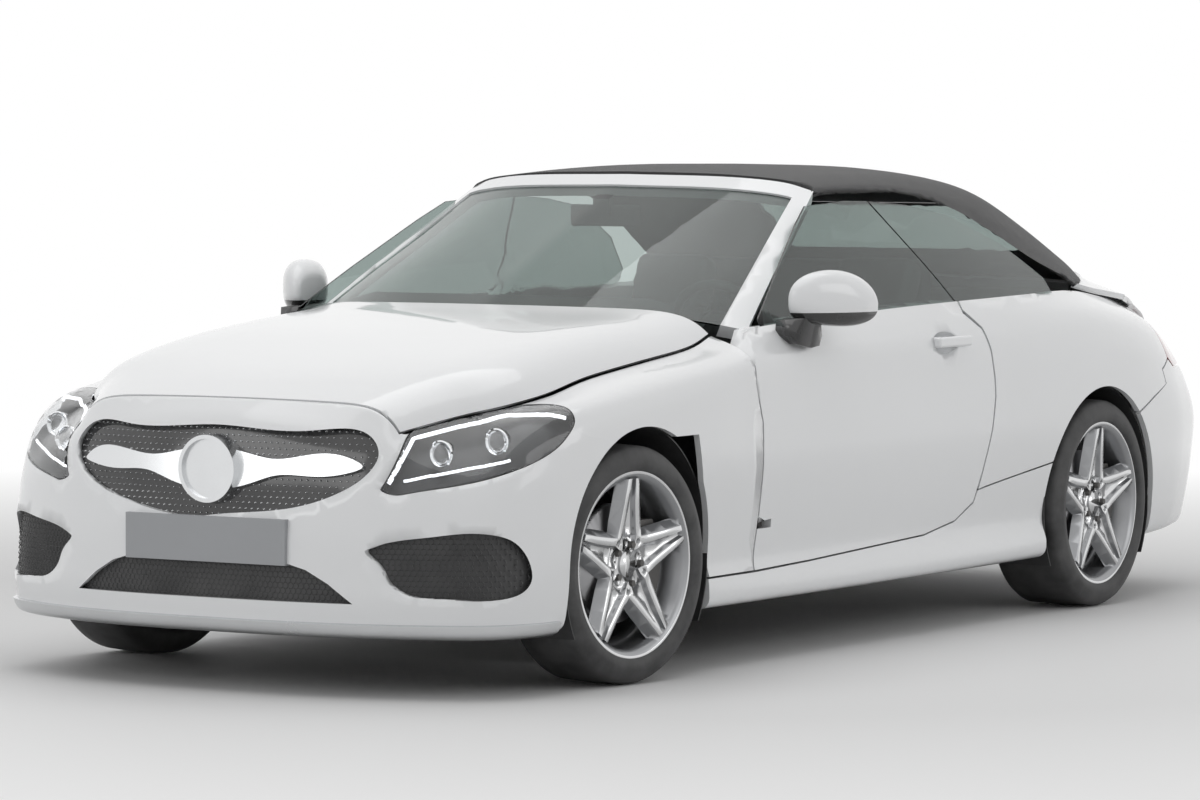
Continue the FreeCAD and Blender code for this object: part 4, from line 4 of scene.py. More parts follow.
import bmesh
import bpy
from bpy.props import FloatProperty, FloatVectorProperty, IntProperty, PointerProperty
from mathutils import Matrix, Vector
from mathutils.bvhtree import BVHTree

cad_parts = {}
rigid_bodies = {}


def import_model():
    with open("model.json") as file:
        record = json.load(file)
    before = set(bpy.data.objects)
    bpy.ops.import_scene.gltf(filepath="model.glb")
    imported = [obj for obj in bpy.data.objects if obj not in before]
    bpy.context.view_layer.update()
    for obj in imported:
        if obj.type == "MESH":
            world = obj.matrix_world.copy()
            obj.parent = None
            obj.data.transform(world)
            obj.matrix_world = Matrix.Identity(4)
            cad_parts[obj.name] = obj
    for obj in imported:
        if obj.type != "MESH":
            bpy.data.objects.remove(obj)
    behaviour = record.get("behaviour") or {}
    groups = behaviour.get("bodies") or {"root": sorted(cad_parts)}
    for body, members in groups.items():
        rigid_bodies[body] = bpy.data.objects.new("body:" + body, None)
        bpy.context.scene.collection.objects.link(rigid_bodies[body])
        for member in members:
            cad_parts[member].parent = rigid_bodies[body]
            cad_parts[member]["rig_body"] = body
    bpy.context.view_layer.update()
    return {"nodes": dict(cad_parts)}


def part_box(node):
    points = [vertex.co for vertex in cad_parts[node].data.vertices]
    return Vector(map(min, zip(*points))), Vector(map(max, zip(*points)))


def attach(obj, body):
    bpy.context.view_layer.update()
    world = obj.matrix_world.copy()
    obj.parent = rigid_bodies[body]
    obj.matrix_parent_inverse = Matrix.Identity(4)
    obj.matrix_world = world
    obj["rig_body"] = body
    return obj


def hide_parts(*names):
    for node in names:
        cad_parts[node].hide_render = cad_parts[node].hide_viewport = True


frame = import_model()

bl_info = {
    "name": "Convertible car",
    "version": (1, 0, 0),
    "blender": (4, 5, 0),
    "location": "View3D > Sidebar > Convertible",
    "description": "Dresses the convertible's frame with paint, glass, cloth, leather and trim",
    "category": "Object",
}

NODES = frame["nodes"]
FRONT_AXLE = -1.5495
X, Y, Z = Vector((1, 0, 0)), Vector((0, 1, 0)), Vector((0, 0, 1))

# The photograph's camera: degrees of yaw, pitch and roll, and its place
CAMERA_TURNS = (31.58318, 3.07278, 0.14915)
CAMERA_PLACE = Vector((8.70737626, -12.92431407 + FRONT_AXLE, 1.5944243))

# Softboxes: name, place, size and power
SOFTBOXES = (
    ("Overhead softbox", (0.0, -1.0, 5.2), (5.0, 7.5), 105.0),
    ("Left softbox", (7.0, 0.5, 3.2), (6.0, 2.6), 58.0),
    ("Front softbox", (-2.2, -8.0, 3.4), (5.0, 2.6), 58.0),
)
LIGHT_TARGET = Vector((0, 0, 0.5))
FLOOR_RADIUS = 90.0

# Places and sizes in metres, and shares, that several lines use
ROOF_HEART = Vector((0.0, 0.7, 1.0))
ROOF_REACH = 0.04
MIRROR_SPLIT = 0.995
CLOTH_FRAMES = 20
CLOTH_STIFFNESS = 40.0
SPOKE_FACE_SHARE = 0.86
DISC_FACE_SHARE = 0.9
ROW_SHARE = 0.86
PIN_DEPTH = 0.005
LAMP_SPAN = (0.50, 0.845)
BROW_SHARE, BROW_DEPTH, BROW_RADIUS = 0.87, 0.022, 0.0055
FOOT_SHARE, FOOT_DEPTH, FOOT_RADIUS = 0.2, 0.026, 0.004
PROJECTORS = ((0.625, 0.5), (0.735, 0.52))
PROJECTOR_DEPTH = 0.040
EYE_PROFILE = [(0, -0.016), (0.012, -0.014), (0.021, -0.008), (0.026, 0.0), (0.026, 0.012), (0, 0.012)]
BOWL_PROFILE = [(0.027, 0.0), (0.034, -0.006), (0.038, -0.004), (0.034, 0.016), (0.027, 0.014), (0.027, 0.0)]


# Settings that a user would change

def number(name, description, default, unit="LENGTH", low=0.0):
    """A size in metres with its name."""
    return FloatProperty(name=name, description=description, default=default, unit=unit, min=low, precision=4)


def share(name, description, default):
    """A number from none to full."""
    return FloatProperty(name=name, description=description, default=default, subtype="FACTOR", min=0, max=1)


def tint(name, description, default):
    """A colour with its name."""
    return FloatVectorProperty(name=name, description=description, default=default, subtype="COLOR", size=3,
                               min=0, max=1)


def count(name, description, default):
    """A whole number with its name."""
    return IntProperty(name=name, description=description, default=default, min=1)


class PaintSettings(bpy.types.PropertyGroup):
    """Body paint and bright trim."""
    colour: tint("Paint colour", "Colour of the painted panels", (0.80, 0.81, 0.82))
    roughness: share("Paint roughness", "How dull the colour coat is under the clear coat", 0.32)
    bright: tint("Bright trim", "Colour of the satin bright trim", (0.72, 0.73, 0.74))


class GlassSettings(bpy.types.PropertyGroup):
    """Windows."""
    colour: tint("Glass tint", "Colour of the tinted windows", (0.36, 0.43, 0.41))


class ClothSettings(bpy.types.PropertyGroup):
    """Fabric roof and seats."""
    canvas: tint("Roof canvas", "Colour of the roof's cloth", (0.012, 0.012, 0.013))
    weave: number("Weave pitch", "Distance between two threads of the roof's cloth", 0.0022)
    thickness: number("Roof thickness", "Thickness of the roof's cloth with its lining", 0.010)
    leather: tint("Leather", "Colour of the seats' leather", (0.035, 0.034, 0.034))
    pressure: FloatProperty(name="Padding pressure", description="How hard the padding pushes", default=4.0, min=0)
    cap: number("Padding cap", "Most that a point of the padding moves", 0.014)
    voxel: number("Padding voxel", "Size of the padding's remeshed faces", 0.012)


class GrilleSettings(bpy.types.PropertyGroup):
    """Radiator grille and bumper meshes."""
    pin_pitch: number("Pin pitch", "Distance between two bright pins", 0.0195)
    pin_size: number("Pin size", "Width of a bright pin", 0.0062)
    cell: number("Mesh cell", "Width of a cell of the bumper's meshes", 0.016)
    wire: number("Mesh wire", "Thickness of the bumper's meshes", 0.0022)


class WheelSettings(bpy.types.PropertyGroup):
    """Wheel bolts."""
    bolts: count("Wheel bolts", "Bolts that hold a wheel", 5)
    bolt_circle: number("Bolt circle", "Radius on which the bolts stand", 0.056)


class StageSettings(bpy.types.PropertyGroup):
    """Floor, light and camera."""
    floor: tint("Floor colour", "Colour of the plain floor", (0.80, 0.80, 0.80))
    daylight: FloatProperty(name="Room light", description="Strength of the light from all round", default=0.46, min=0)
    fade_start: number("Fade start", "Distance from the car at which the floor starts to turn white", 2.6)
    fade_end: number("Fade end", "Distance at which the floor is white", 7.5)
    lens: FloatProperty(name="Lens", description="Focal length in millimetres", default=165.544, min=1)


class ConvertibleSettings(bpy.types.PropertyGroup):
    """All settings of the convertible."""
    paint: PointerProperty(type=PaintSettings)
    glass: PointerProperty(type=GlassSettings)
    cloth: PointerProperty(type=ClothSettings)
    grille: PointerProperty(type=GrilleSettings)
    wheels: PointerProperty(type=WheelSettings)
    stage: PointerProperty(type=StageSettings)


def settings():
    return bpy.context.scene.convertible


# Shader helpers

def node(tree, kind, **values):
    """A shader node with its inputs and properties set."""
    made = tree.nodes.new("ShaderNode" + kind)
    for key, value in values.items():
        if hasattr(made, key):
            setattr(made, key, value)
        else:
            made.inputs[key.replace("_", " ")].default_value = value
    return made


def group_tree(name, inputs, outputs):
    """An empty shader group with named sockets."""
    tree = bpy.data.node_groups.new(name, "ShaderNodeTree")
    for label, kind, value in inputs:
        socket = tree.interface.new_socket(label, in_out="INPUT", socket_type="NodeSocket" + kind)
        if value is not None:
            socket.default_value = value
    for label, kind in outputs:
        tree.interface.new_socket(label, in_out="OUTPUT", socket_type="NodeSocket" + kind)
    return tree, tree.nodes.new("NodeGroupInput"), tree.nodes.new("NodeGroupOutput")


def math_node(tree, operation, first, second=None, clamp=False):
    """A Math node fed by sockets or numbers."""
    made = tree.nodes.new("ShaderNodeMath")
    made.operation = operation
    made.use_clamp = clamp
    for index, value in enumerate((first, second)):
        if value is None:
            continue
        if isinstance(value, (int, float)):
            made.inputs[index].default_value = value
        else:
            tree.links.new(value, made.inputs[index])
    return made.outputs[0]


def build_grain():
    """Fine moulded or cast surface: grain height and slow dust patches."""
    tree, start, end = group_tree(
        "Surface grain",
        [("Vector", "Vector", None), ("Grain scale", "Float", 900.0), ("Patch scale", "Float", 6.0)],
        [("Height", "Float"), ("Patches", "Float")])
    grain = node(tree, "TexNoise", Detail=4.0, Roughness=0.6)
    patches = node(tree, "TexNoise", Detail=5.0, Roughness=0.55)
    for texture, label in ((grain, "Grain scale"), (patches, "Patch scale")):
        tree.links.new(start.outputs["Vector"], texture.inputs["Vector"])
        tree.links.new(start.outputs[label], texture.inputs["Scale"])
    tree.links.new(grain.outputs["Fac"], end.inputs["Height"])
    spread = math_node(tree, "MULTIPLY_ADD", patches.outputs["Fac"], 2.4, True)
    spread.node.inputs[2].default_value = -0.7
    tree.links.new(spread, end.inputs["Patches"])
    return tree


def build_leather():
    """Leather: pebbled cells with creases between them."""
    tree, start, end = group_tree(
        "Leather grain",
        [("Vector", "Vector", None), ("Scale", "Float", 420.0)],
        [("Height", "Float"), ("Creases", "Float")])
    cells = node(tree, "TexVoronoi", feature="DISTANCE_TO_EDGE")
    pores = node(tree, "TexNoise", Detail=3.0)
    tree.links.new(start.outputs["Vector"], cells.inputs["Vector"])
    tree.links.new(start.outputs["Vector"], pores.inputs["Vector"])
    tree.links.new(start.outputs["Scale"], cells.inputs["Scale"])
    tree.links.new(math_node(tree, "MULTIPLY", start.outputs["Scale"], 2.0), pores.inputs["Scale"])
    edge = math_node(tree, "MULTIPLY", cells.outputs["Distance"], 6.0, True)
    height = math_node(tree, "ADD", edge, math_node(tree, "MULTIPLY", pores.outputs["Fac"], 0.3))
    tree.links.new(height, end.inputs["Height"])
    tree.links.new(math_node(tree, "SUBTRACT", 1.0, edge), end.inputs["Creases"])
    return tree


def build_weave():
    """Twill of a fabric roof from two crossed waves over the cloth's own map."""
    tree, start, end = group_tree(
        "Roof weave",
        [("Vector", "Vector", None), ("Threads", "Float", 450.0)],
        [("Height", "Float"), ("Tone", "Float")])
    split = tree.nodes.new("ShaderNodeSeparateXYZ")
    tree.links.new(start.outputs["Vector"], split.inputs[0])
    waves = []
    for axis in (0, 1):
        turn = math_node(tree, "MULTIPLY", split.outputs[axis], start.outputs["Threads"])
        waves.append(math_node(tree, "MULTIPLY", turn, 2 * math.pi))
    warp = math_node(tree, "SINE", math_node(tree, "ADD", waves[0], waves[1]))
    weft = math_node(tree, "SINE", math_node(tree, "SUBTRACT", waves[0], waves[1]))
    cloth = math_node(tree, "MULTIPLY_ADD", math_node(tree, "MULTIPLY", warp, weft), 0.5)
    cloth.node.inputs[2].default_value = 0.5
    tree.links.new(cloth, end.inputs["Height"])
    slubs = node(tree, "TexNoise", Scale=14.0, Detail=5.0)
    tree.links.new(start.outputs["Vector"], slubs.inputs["Vector"])
    tree.links.new(slubs.outputs["Fac"], end.inputs["Tone"])
    return tree


def seen_rays(tree):
    """One where the camera, a mirror or a pane looks, and none where light is gathered."""
    path = tree.nodes.new("ShaderNodeLightPath")
    first = math_node(tree, "MAXIMUM", path.outputs["Is Camera Ray"], path.outputs["Is Transmission Ray"])
    return math_node(tree, "MAXIMUM", first, path.outputs["Is Glossy Ray"])


GROUPS = {}


def effect(name):
    """The shared effect of that name, built once."""
    if name not in GROUPS:
        GROUPS[name] = {"grain": build_grain, "leather": build_leather, "weave": build_weave}[name]()
    return GROUPS[name]


FINISHES = {}


def finish(name, colour, roughness=0.5, metallic=0.0, grain=900.0, bump=0.02, patch=6.0, vary=0.06, rough_vary=0.08,
           kind="grain", map_name=None, **sockets):
    """A finish with grain in its bump, and patches in its colour and roughness."""
    if name in FINISHES:
        return FINISHES[name]
    made = bpy.data.materials.new(name)
    made.use_nodes = True
    tree = made.node_tree
    shader = tree.nodes["Principled BSDF"]
    shader.inputs["Metallic"].default_value = metallic
    shader.inputs["Roughness"].default_value = roughness
    shader.inputs["Base Color"].default_value = (*colour, 1.0)
    for key, value in sockets.items():
        shader.inputs[key.replace("_", " ")].default_value = value
    made.diffuse_color = (*colour, 1.0)
    if map_name:
        place = node(tree, "UVMap", uv_map=map_name)
        vector = place.outputs["UV"]
    else:
        place = node(tree, "TexCoord")
        vector = place.outputs["Object"]
    detail = tree.nodes.new("ShaderNodeGroup")
    detail.node_tree = effect(kind)
    tree.links.new(vector, detail.inputs["Vector"])
    scale_socket = {"grain": "Grain scale", "leather": "Scale", "weave": "Threads"}[kind]
    detail.inputs[scale_socket].default_value = grain
    tone_socket = {"grain": "Patches", "leather": "Creases", "weave": "Tone"}[kind]
    if kind == "grain":
        detail.inputs["Patch scale"].default_value = patch
    if bump:
        lift = node(tree, "Bump", Strength=bump, Distance=0.001)
        tree.links.new(detail.outputs["Height"], lift.inputs["Height"])
        tree.links.new(lift.outputs["Normal"], shader.inputs["Normal"])
    if vary:
        mix = tree.nodes.new("ShaderNodeMix")
        mix.data_type = "RGBA"
        mix.inputs[6].default_value = (*colour, 1.0)
        mix.inputs[7].default_value = (*[min(1.0, c * (1 - vary) + 0.12 * vary) for c in colour], 1.0)
        tree.links.new(detail.outputs[tone_socket], mix.inputs[0])
        tree.links.new(mix.outputs[2], shader.inputs["Base Color"])
    if rough_vary:
        rough = node(tree, "MapRange")
        rough.inputs["To Min"].default_value = max(0.0, roughness - rough_vary / 2)
        rough.inputs["To Max"].default_value = min(1.0, roughness + rough_vary / 2)
        tree.links.new(detail.outputs[tone_socket], rough.inputs["Value"])
        tree.links.new(rough.outputs["Result"], shader.inputs["Roughness"])
    FINISHES[name] = made
    return made


def paint():
    return finish("Body paint", tuple(settings().paint.colour), settings().paint.roughness, grain=2600.0, bump=0.006,
                  patch=1.6, vary=0.015, rough_vary=0.05, Coat_Weight=1.0, Coat_Roughness=0.03, Coat_IOR=1.5)


def bright():
    return finish("Satin bright trim", tuple(settings().paint.bright), 0.24, 1.0, grain=1400.0, bump=0.01, vary=0.05)


def chrome():
    return finish("Bright plating", (0.86, 0.87, 0.88), 0.08, 1.0, grain=700.0, bump=0.004, vary=0.03, rough_vary=0.04)


def gloss_black():
    return finish("Gloss black", (0.010, 0.010, 0.011), 0.12, grain=1500.0, bump=0.004, vary=0.3, rough_vary=0.06,
                  Coat_Weight=0.6, Coat_Roughness=0.05)


def black_plastic():
    return finish("Grained black plastic", (0.014, 0.014, 0.015), 0.48, grain=1300.0, bump=0.18, vary=0.4)


def dark_grey():
    return finish("Dark grey housing", (0.028, 0.029, 0.031), 0.36, grain=1100.0, bump=0.05, vary=0.3)


def rubber():
    return finish("Tyre rubber", (0.019, 0.019, 0.020), 0.62, grain=1600.0, bump=0.12, patch=9.0, vary=0.7,
                  rough_vary=0.16)


def seal():
    return finish("Rubber seal", (0.009, 0.009, 0.010), 0.5, grain=1200.0, bump=0.08, vary=0.3)


def canvas():
    cloth = settings().cloth
    return finish("Roof canvas", tuple(cloth.canvas), 0.85, kind="weave", map_name="Cloth", grain=1 / cloth.weave,
                  bump=0.35, vary=0.5, rough_vary=0.1, Sheen_Weight=0.25, Sheen_Roughness=0.5)


def leather():
    return finish("Grained leather", tuple(settings().cloth.leather), 0.46, kind="leather", grain=430.0, bump=0.16,
                  vary=0.35, rough_vary=0.14)


def dash_plastic():
    return finish("Soft dashboard", (0.020, 0.020, 0.021), 0.55, kind="leather", grain=600.0, bump=0.1, vary=0.3)


def iron():
    return finish("Cast iron", (0.13, 0.125, 0.12), 0.6, 0.7, grain=500.0, bump=0.2, vary=0.5, rough_vary=0.2)


def disc_steel():
    return finish("Turned disc steel", (0.42, 0.42, 0.43), 0.34, 1.0, grain=700.0, bump=0.05, vary=0.25)


def machined():
    return finish("Machined spoke face", (0.66, 0.665, 0.67), 0.2, 1.0, grain=1500.0, bump=0.01, vary=0.06,
                  Coat_Weight=0.6, Coat_Roughness=0.04)


def wheel_silver():
    return finish("Wheel grey paint", (0.30, 0.305, 0.315), 0.34, 0.85, grain=1800.0, bump=0.02, vary=0.12,
                  Coat_Weight=0.7, Coat_Roughness=0.06)


def underside():
    return finish("Underbody coating", (0.045, 0.045, 0.046), 0.7, grain=260.0, bump=0.3, patch=4.0, vary=0.5)


def plate_grey():
    return finish("Blank plate", (0.36, 0.37, 0.385), 0.42, grain=800.0, bump=0.02, vary=0.05)


def clear_glass(name, colour, rough=0.0):
    """Clear or tinted glass."""
    if name in FINISHES:
        return FINISHES[name]
    made = finish(name, colour, rough, grain=40.0, bump=0.0, patch=2.0, vary=0.04, rough_vary=0.0,
                  Transmission_Weight=1.0, IOR=1.45)
    return made


def tinted():
    return clear_glass("Tinted glass", tuple(settings().glass.colour))


def lens_glass():
    return clear_glass("Clear lens", (0.96, 0.97, 0.98))


def red_lens():
    return finish("Red lens", (0.42, 0.012, 0.02), 0.08, grain=60.0, bump=0.02, vary=0.2, Coat_Weight=1.0,
                  Transmission_Weight=0.35)


def lit(name, colour, strength):
    """A lamp element that glows a little."""
    if name in FINISHES:
        return FINISHES[name]
    made = finish(name, colour, 0.3, grain=400.0, bump=0.02, vary=0.02, Emission_Strength=strength)
    made.node_tree.nodes["Principled BSDF"].inputs["Emission Color"].default_value = (*colour, 1.0)
    return made


# Mesh helpers

def keep(name, mesh, material, body, replaces=(), smooth=35.0):
    """Puts a finished mesh in the scene on its body."""
    made = bpy.data.objects.new(name, mesh)
    bpy.context.scene.collection.objects.link(made)
    if smooth is not None:
        mesh.shade_smooth()
        mesh.set_sharp_from_angle(angle=math.radians(smooth))
    if material is not None:
        mesh.materials.clear()
        for one in material if isinstance(material, (list, tuple)) else [material]:
            mesh.materials.append(one)
    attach(made, body)
    if replaces:
        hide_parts(*replaces)
    return made


def body_of(node_name):
    return NODES[node_name]["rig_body"]


def merged(node_name):
    """A merged copy of a CAD node's mesh in a bmesh."""
    work = bmesh.new()
    work.from_mesh(NODES[node_name].data)
    bmesh.ops.remove_doubles(work, verts=work.verts, dist=2e-6)
    return work


def mesh_from(work, name):
    mesh = bpy.data.meshes.new(name)
    work.to_mesh(mesh)
    work.free()
    return mesh


def panel(node_name, name, material, smooth=35.0):
    """A smooth copy of a CAD node that stands for it."""
    return keep(name, mesh_from(merged(node_name), name), material, body_of(node_name), (node_name,), smooth)


def tube(points, radius, sides=8):
    """A closed tube along points."""
    work = bmesh.new()
    rings = []
    for index, point in enumerate(points):
        along = (points[min(index + 1, len(points) - 1)] - points[max(index - 1, 0)]).normalized()
        across = along.cross(Z).normalized()
        above = across.cross(along)
        rings.append([work.verts.new(point + radius * (math.cos(turn) * across + math.sin(turn) * above))
                      for turn in (2 * math.pi * n / sides for n in range(sides))])
    for first, second in zip(rings, rings[1:]):
        for n in range(sides):
            m = (n + 1) % sides
            work.faces.new((first[n], first[m], second[m], second[n]))
    work.faces.new(rings[0][::-1])
    work.faces.new(rings[-1])
    bmesh.ops.recalc_face_normals(work, faces=work.faces)
    return work


def turned(profile, centre, axis, segments=48):
    """A closed turned shape from (radius, height) pairs round an axis."""
    side = axis.cross(Z if abs(axis.z) < 0.9 else X).normalized()
    other = axis.cross(side)
    work = bmesh.new()
    rings = []
    for radius, height in profile:
        if radius == 0:
            rings.append([work.verts.new(centre + axis * height)])
            continue
        spot = centre + axis * height
        rings.append([work.verts.new(spot + radius * (math.cos(turn) * side + math.sin(turn) * other))
                      for turn in (2 * math.pi * n / segments for n in range(segments))])
    for first, second in zip(rings, rings[1:]):
        for n in range(segments):
            m = (n + 1) % segments
            corners = []
            for ring, at in ((first, n), (first, m), (second, m), (second, n)):
                corner = ring[at % len(ring)]
                if corner not in corners:
                    corners.append(corner)
            if len(corners) > 2:
                work.faces.new(corners)
    bmesh.ops.recalc_face_normals(work, faces=work.faces)
    return work


def joined(works, name):
    """One mesh from several bmeshes."""
    whole = bmesh.new()
    for work in works:
        piece = mesh_from(work, "piece")
        whole.from_mesh(piece)
        bpy.data.meshes.remove(piece)
    return mesh_from(whole, name)


def probe(node_name):
    """A search tree over a CAD node's faces."""
    work = merged(node_name)
    found = BVHTree.FromBMesh(work)
    work.free()
    return found


# Geometry Nodes helpers

def geometry_tree(name, inputs):
    """An empty geometry tree with named inputs and one geometry output."""
    tree = bpy.data.node_groups.new(name, "GeometryNodeTree")
    for label, kind, value in inputs:
        socket = tree.interface.new_socket(label, in_out="INPUT", socket_type="NodeSocket" + kind)
        if value is not None:
            socket.default_value = value
    tree.interface.new_socket("Geometry", in_out="OUTPUT", socket_type="NodeSocketGeometry")
    return tree, tree.nodes.new("NodeGroupInput"), tree.nodes.new("NodeGroupOutput")


def part(tree, kind, sources=(), **properties):
    """A geometry node of a kind; sources are (input, socket or value) pairs."""
    made = tree.nodes.new(kind)
    for key, value in properties.items():
        setattr(made, key, value)
    for label, value in sources:
        if isinstance(value, bpy.types.NodeSocket):
            tree.links.new(value, made.inputs[label])
        else:
            made.inputs[label].default_value = value
    return made


def sum_of(tree, operation, *values):
    """The result of a Math node."""
    return part(tree, "ShaderNodeMath", list(enumerate(values)), operation=operation).outputs[0]


def rows_tree(name, shape):
    """Staggered rows of one shape on the front of a piece: pins or mesh cells."""
    tree, start, end = geometry_tree(name, [
        ("Face", "Object", None), ("Width", "Float", 1.0), ("Height", "Float", 0.3), ("Level", "Float", 0.6),
        ("Pitch across", "Float", 0.02), ("Pitch up", "Float", 0.017), ("Size", "Float", 0.006),
        ("Depth", "Float", 0.004), ("Front", "Float", -2.6), ("Material", "Material", None)])
    value = start.outputs
    columns = sum_of(tree, "ROUND", sum_of(tree, "DIVIDE", value["Width"], value["Pitch across"]))
    rows = sum_of(tree, "ROUND", sum_of(tree, "DIVIDE", value["Height"], value["Pitch up"]))
    grid = part(tree, "GeometryNodeMeshGrid", [("Size X", value["Width"]), ("Size Y", value["Height"]),
                                               ("Vertices X", sum_of(tree, "ADD", columns, 1.0)),
                                               ("Vertices Y", sum_of(tree, "ADD", rows, 1.0))])
    spot = part(tree, "ShaderNodeSeparateXYZ", [(0, part(tree, "GeometryNodeInputPosition").outputs[0])])
    row = sum_of(tree, "ROUND", sum_of(tree, "DIVIDE", sum_of(tree, "ADD", spot.outputs["Y"], value["Height"]),
                                       value["Pitch up"]))
    half = sum_of(tree, "DIVIDE", value["Pitch across"], 2.0)
    shift = sum_of(tree, "MULTIPLY", sum_of(tree, "PINGPONG", row, 1.0), half)
    place = part(tree, "ShaderNodeCombineXYZ", [
        ("X", sum_of(tree, "ADD", spot.outputs["X"], shift)), ("Y", value["Front"]),
        ("Z", sum_of(tree, "ADD", spot.outputs["Y"], value["Level"]))])
    spread = part(tree, "GeometryNodeSetPosition", [("Geometry", grid.outputs["Mesh"]), ("Position", place.outputs[0])])
    face = part(tree, "GeometryNodeObjectInfo", [("Object", value["Face"])])
    ray = part(tree, "GeometryNodeRaycast", [
        ("Target Geometry", face.outputs["Geometry"]), ("Ray Direction", (0.0, 1.0, 0.0)), ("Ray Length", 2.0)])
    missed = part(tree, "FunctionNodeBooleanMath", [(0, ray.outputs["Is Hit"])], operation="NOT")
    left = part(tree, "GeometryNodeDeleteGeometry", [
        ("Geometry", spread.outputs[0]), ("Selection", missed.outputs[0])])
    seated = part(tree, "GeometryNodeSetPosition", [
        ("Geometry", left.outputs[0]), ("Position", ray.outputs["Hit Position"])])
    radius = sum_of(tree, "DIVIDE", value["Size"], 2.0)
    if shape == "pin":
        copy = part(tree, "GeometryNodeMeshCone", [
            ("Vertices", 4), ("Radius Bottom", radius), ("Radius Top", sum_of(tree, "MULTIPLY", radius, 0.35)),
            ("Depth", value["Depth"])]).outputs["Mesh"]
    else:
        ring = part(tree, "GeometryNodeMeshCircle", [("Vertices", 6), ("Radius", radius)])
        line = part(tree, "GeometryNodeMeshToCurve", [("Mesh", ring.outputs["Mesh"])])
        wire = part(tree, "GeometryNodeCurvePrimitiveCircle", [("Resolution", 4), ("Radius", value["Depth"])])
        copy = part(tree, "GeometryNodeCurveToMesh", [
            ("Curve", line.outputs[0]), ("Profile Curve", wire.outputs["Curve"])]).outputs[0]
    copies = part(tree, "GeometryNodeInstanceOnPoints", [
        ("Points", seated.outputs[0]), ("Instance", copy), ("Rotation", (math.pi / 2, 0.0, 0.0))])
    real = part(tree, "GeometryNodeRealizeInstances", [("Geometry", copies.outputs[0])])
    done = part(tree, "GeometryNodeSetMaterial", [("Geometry", real.outputs[0]), ("Material", value["Material"])])
    tree.links.new(done.outputs[0], end.inputs[0])
    return tree


def ring_tree(name):
    """Hexagon heads in a circle round an axis."""
    tree, start, end = geometry_tree(name, [
        ("Centre", "Vector", None), ("Turn", "Vector", None), ("Count", "Int", 5), ("Circle", "Float", 0.056),
        ("Head", "Float", 0.011), ("Height", "Float", 0.012), ("Material", "Material", None)])
    value = start.outputs
    circle = part(tree, "GeometryNodeMeshCircle", [("Vertices", value["Count"]), ("Radius", value["Circle"])])
    head = part(tree, "GeometryNodeMeshCone", [
        ("Vertices", 6), ("Radius Bottom", value["Head"]), ("Radius Top", sum_of(tree, "MULTIPLY", value["Head"], 0.86)),
        ("Depth", value["Height"])])
    copies = part(tree, "GeometryNodeInstanceOnPoints", [
        ("Points", circle.outputs["Mesh"]), ("Instance", head.outputs["Mesh"])])
    real = part(tree, "GeometryNodeRealizeInstances", [("Geometry", copies.outputs[0])])
    placed = part(tree, "GeometryNodeTransform", [
        ("Geometry", real.outputs[0]), ("Translation", value["Centre"]), ("Rotation", value["Turn"])])
    done = part(tree, "GeometryNodeSetMaterial", [("Geometry", placed.outputs[0]), ("Material", value["Material"])])
    tree.links.new(done.outputs[0], end.inputs[0])
    return tree


def pattern(name, tree, values):
    """The plain mesh that a geometry tree makes with these inputs."""
    host = bpy.data.objects.new(name, bpy.data.meshes.new(name + "_seed"))
    bpy.context.scene.collection.objects.link(host)
    modifier = host.modifiers.new("Pattern", "NODES")
    modifier.node_group = tree
    for item in tree.interface.items_tree:
        if item.in_out == "INPUT" and item.name in values:
            modifier[item.identifier] = values[item.name]
    graph = bpy.context.evaluated_depsgraph_get()
    mesh = bpy.data.meshes.new_from_object(host.evaluated_get(graph), depsgraph=graph)
    bpy.data.objects.remove(host)
    if not mesh.vertices:
        raise RuntimeError(name + " came out empty")
    return mesh


def applied(made):
    """The object's evaluated mesh takes the place of its modifiers."""
    graph = bpy.context.evaluated_depsgraph_get()
    mesh = bpy.data.meshes.new_from_object(made.evaluated_get(graph), depsgraph=graph)
    made.modifiers.clear()
    old = made.data
    made.data = mesh
    bpy.data.meshes.remove(old)
    return made


def dress(node_name, material):
    """A CAD node keeps its shape and gets a finish."""
    made = NODES[node_name]
    made.data.materials.clear()
    made.data.materials.append(material)


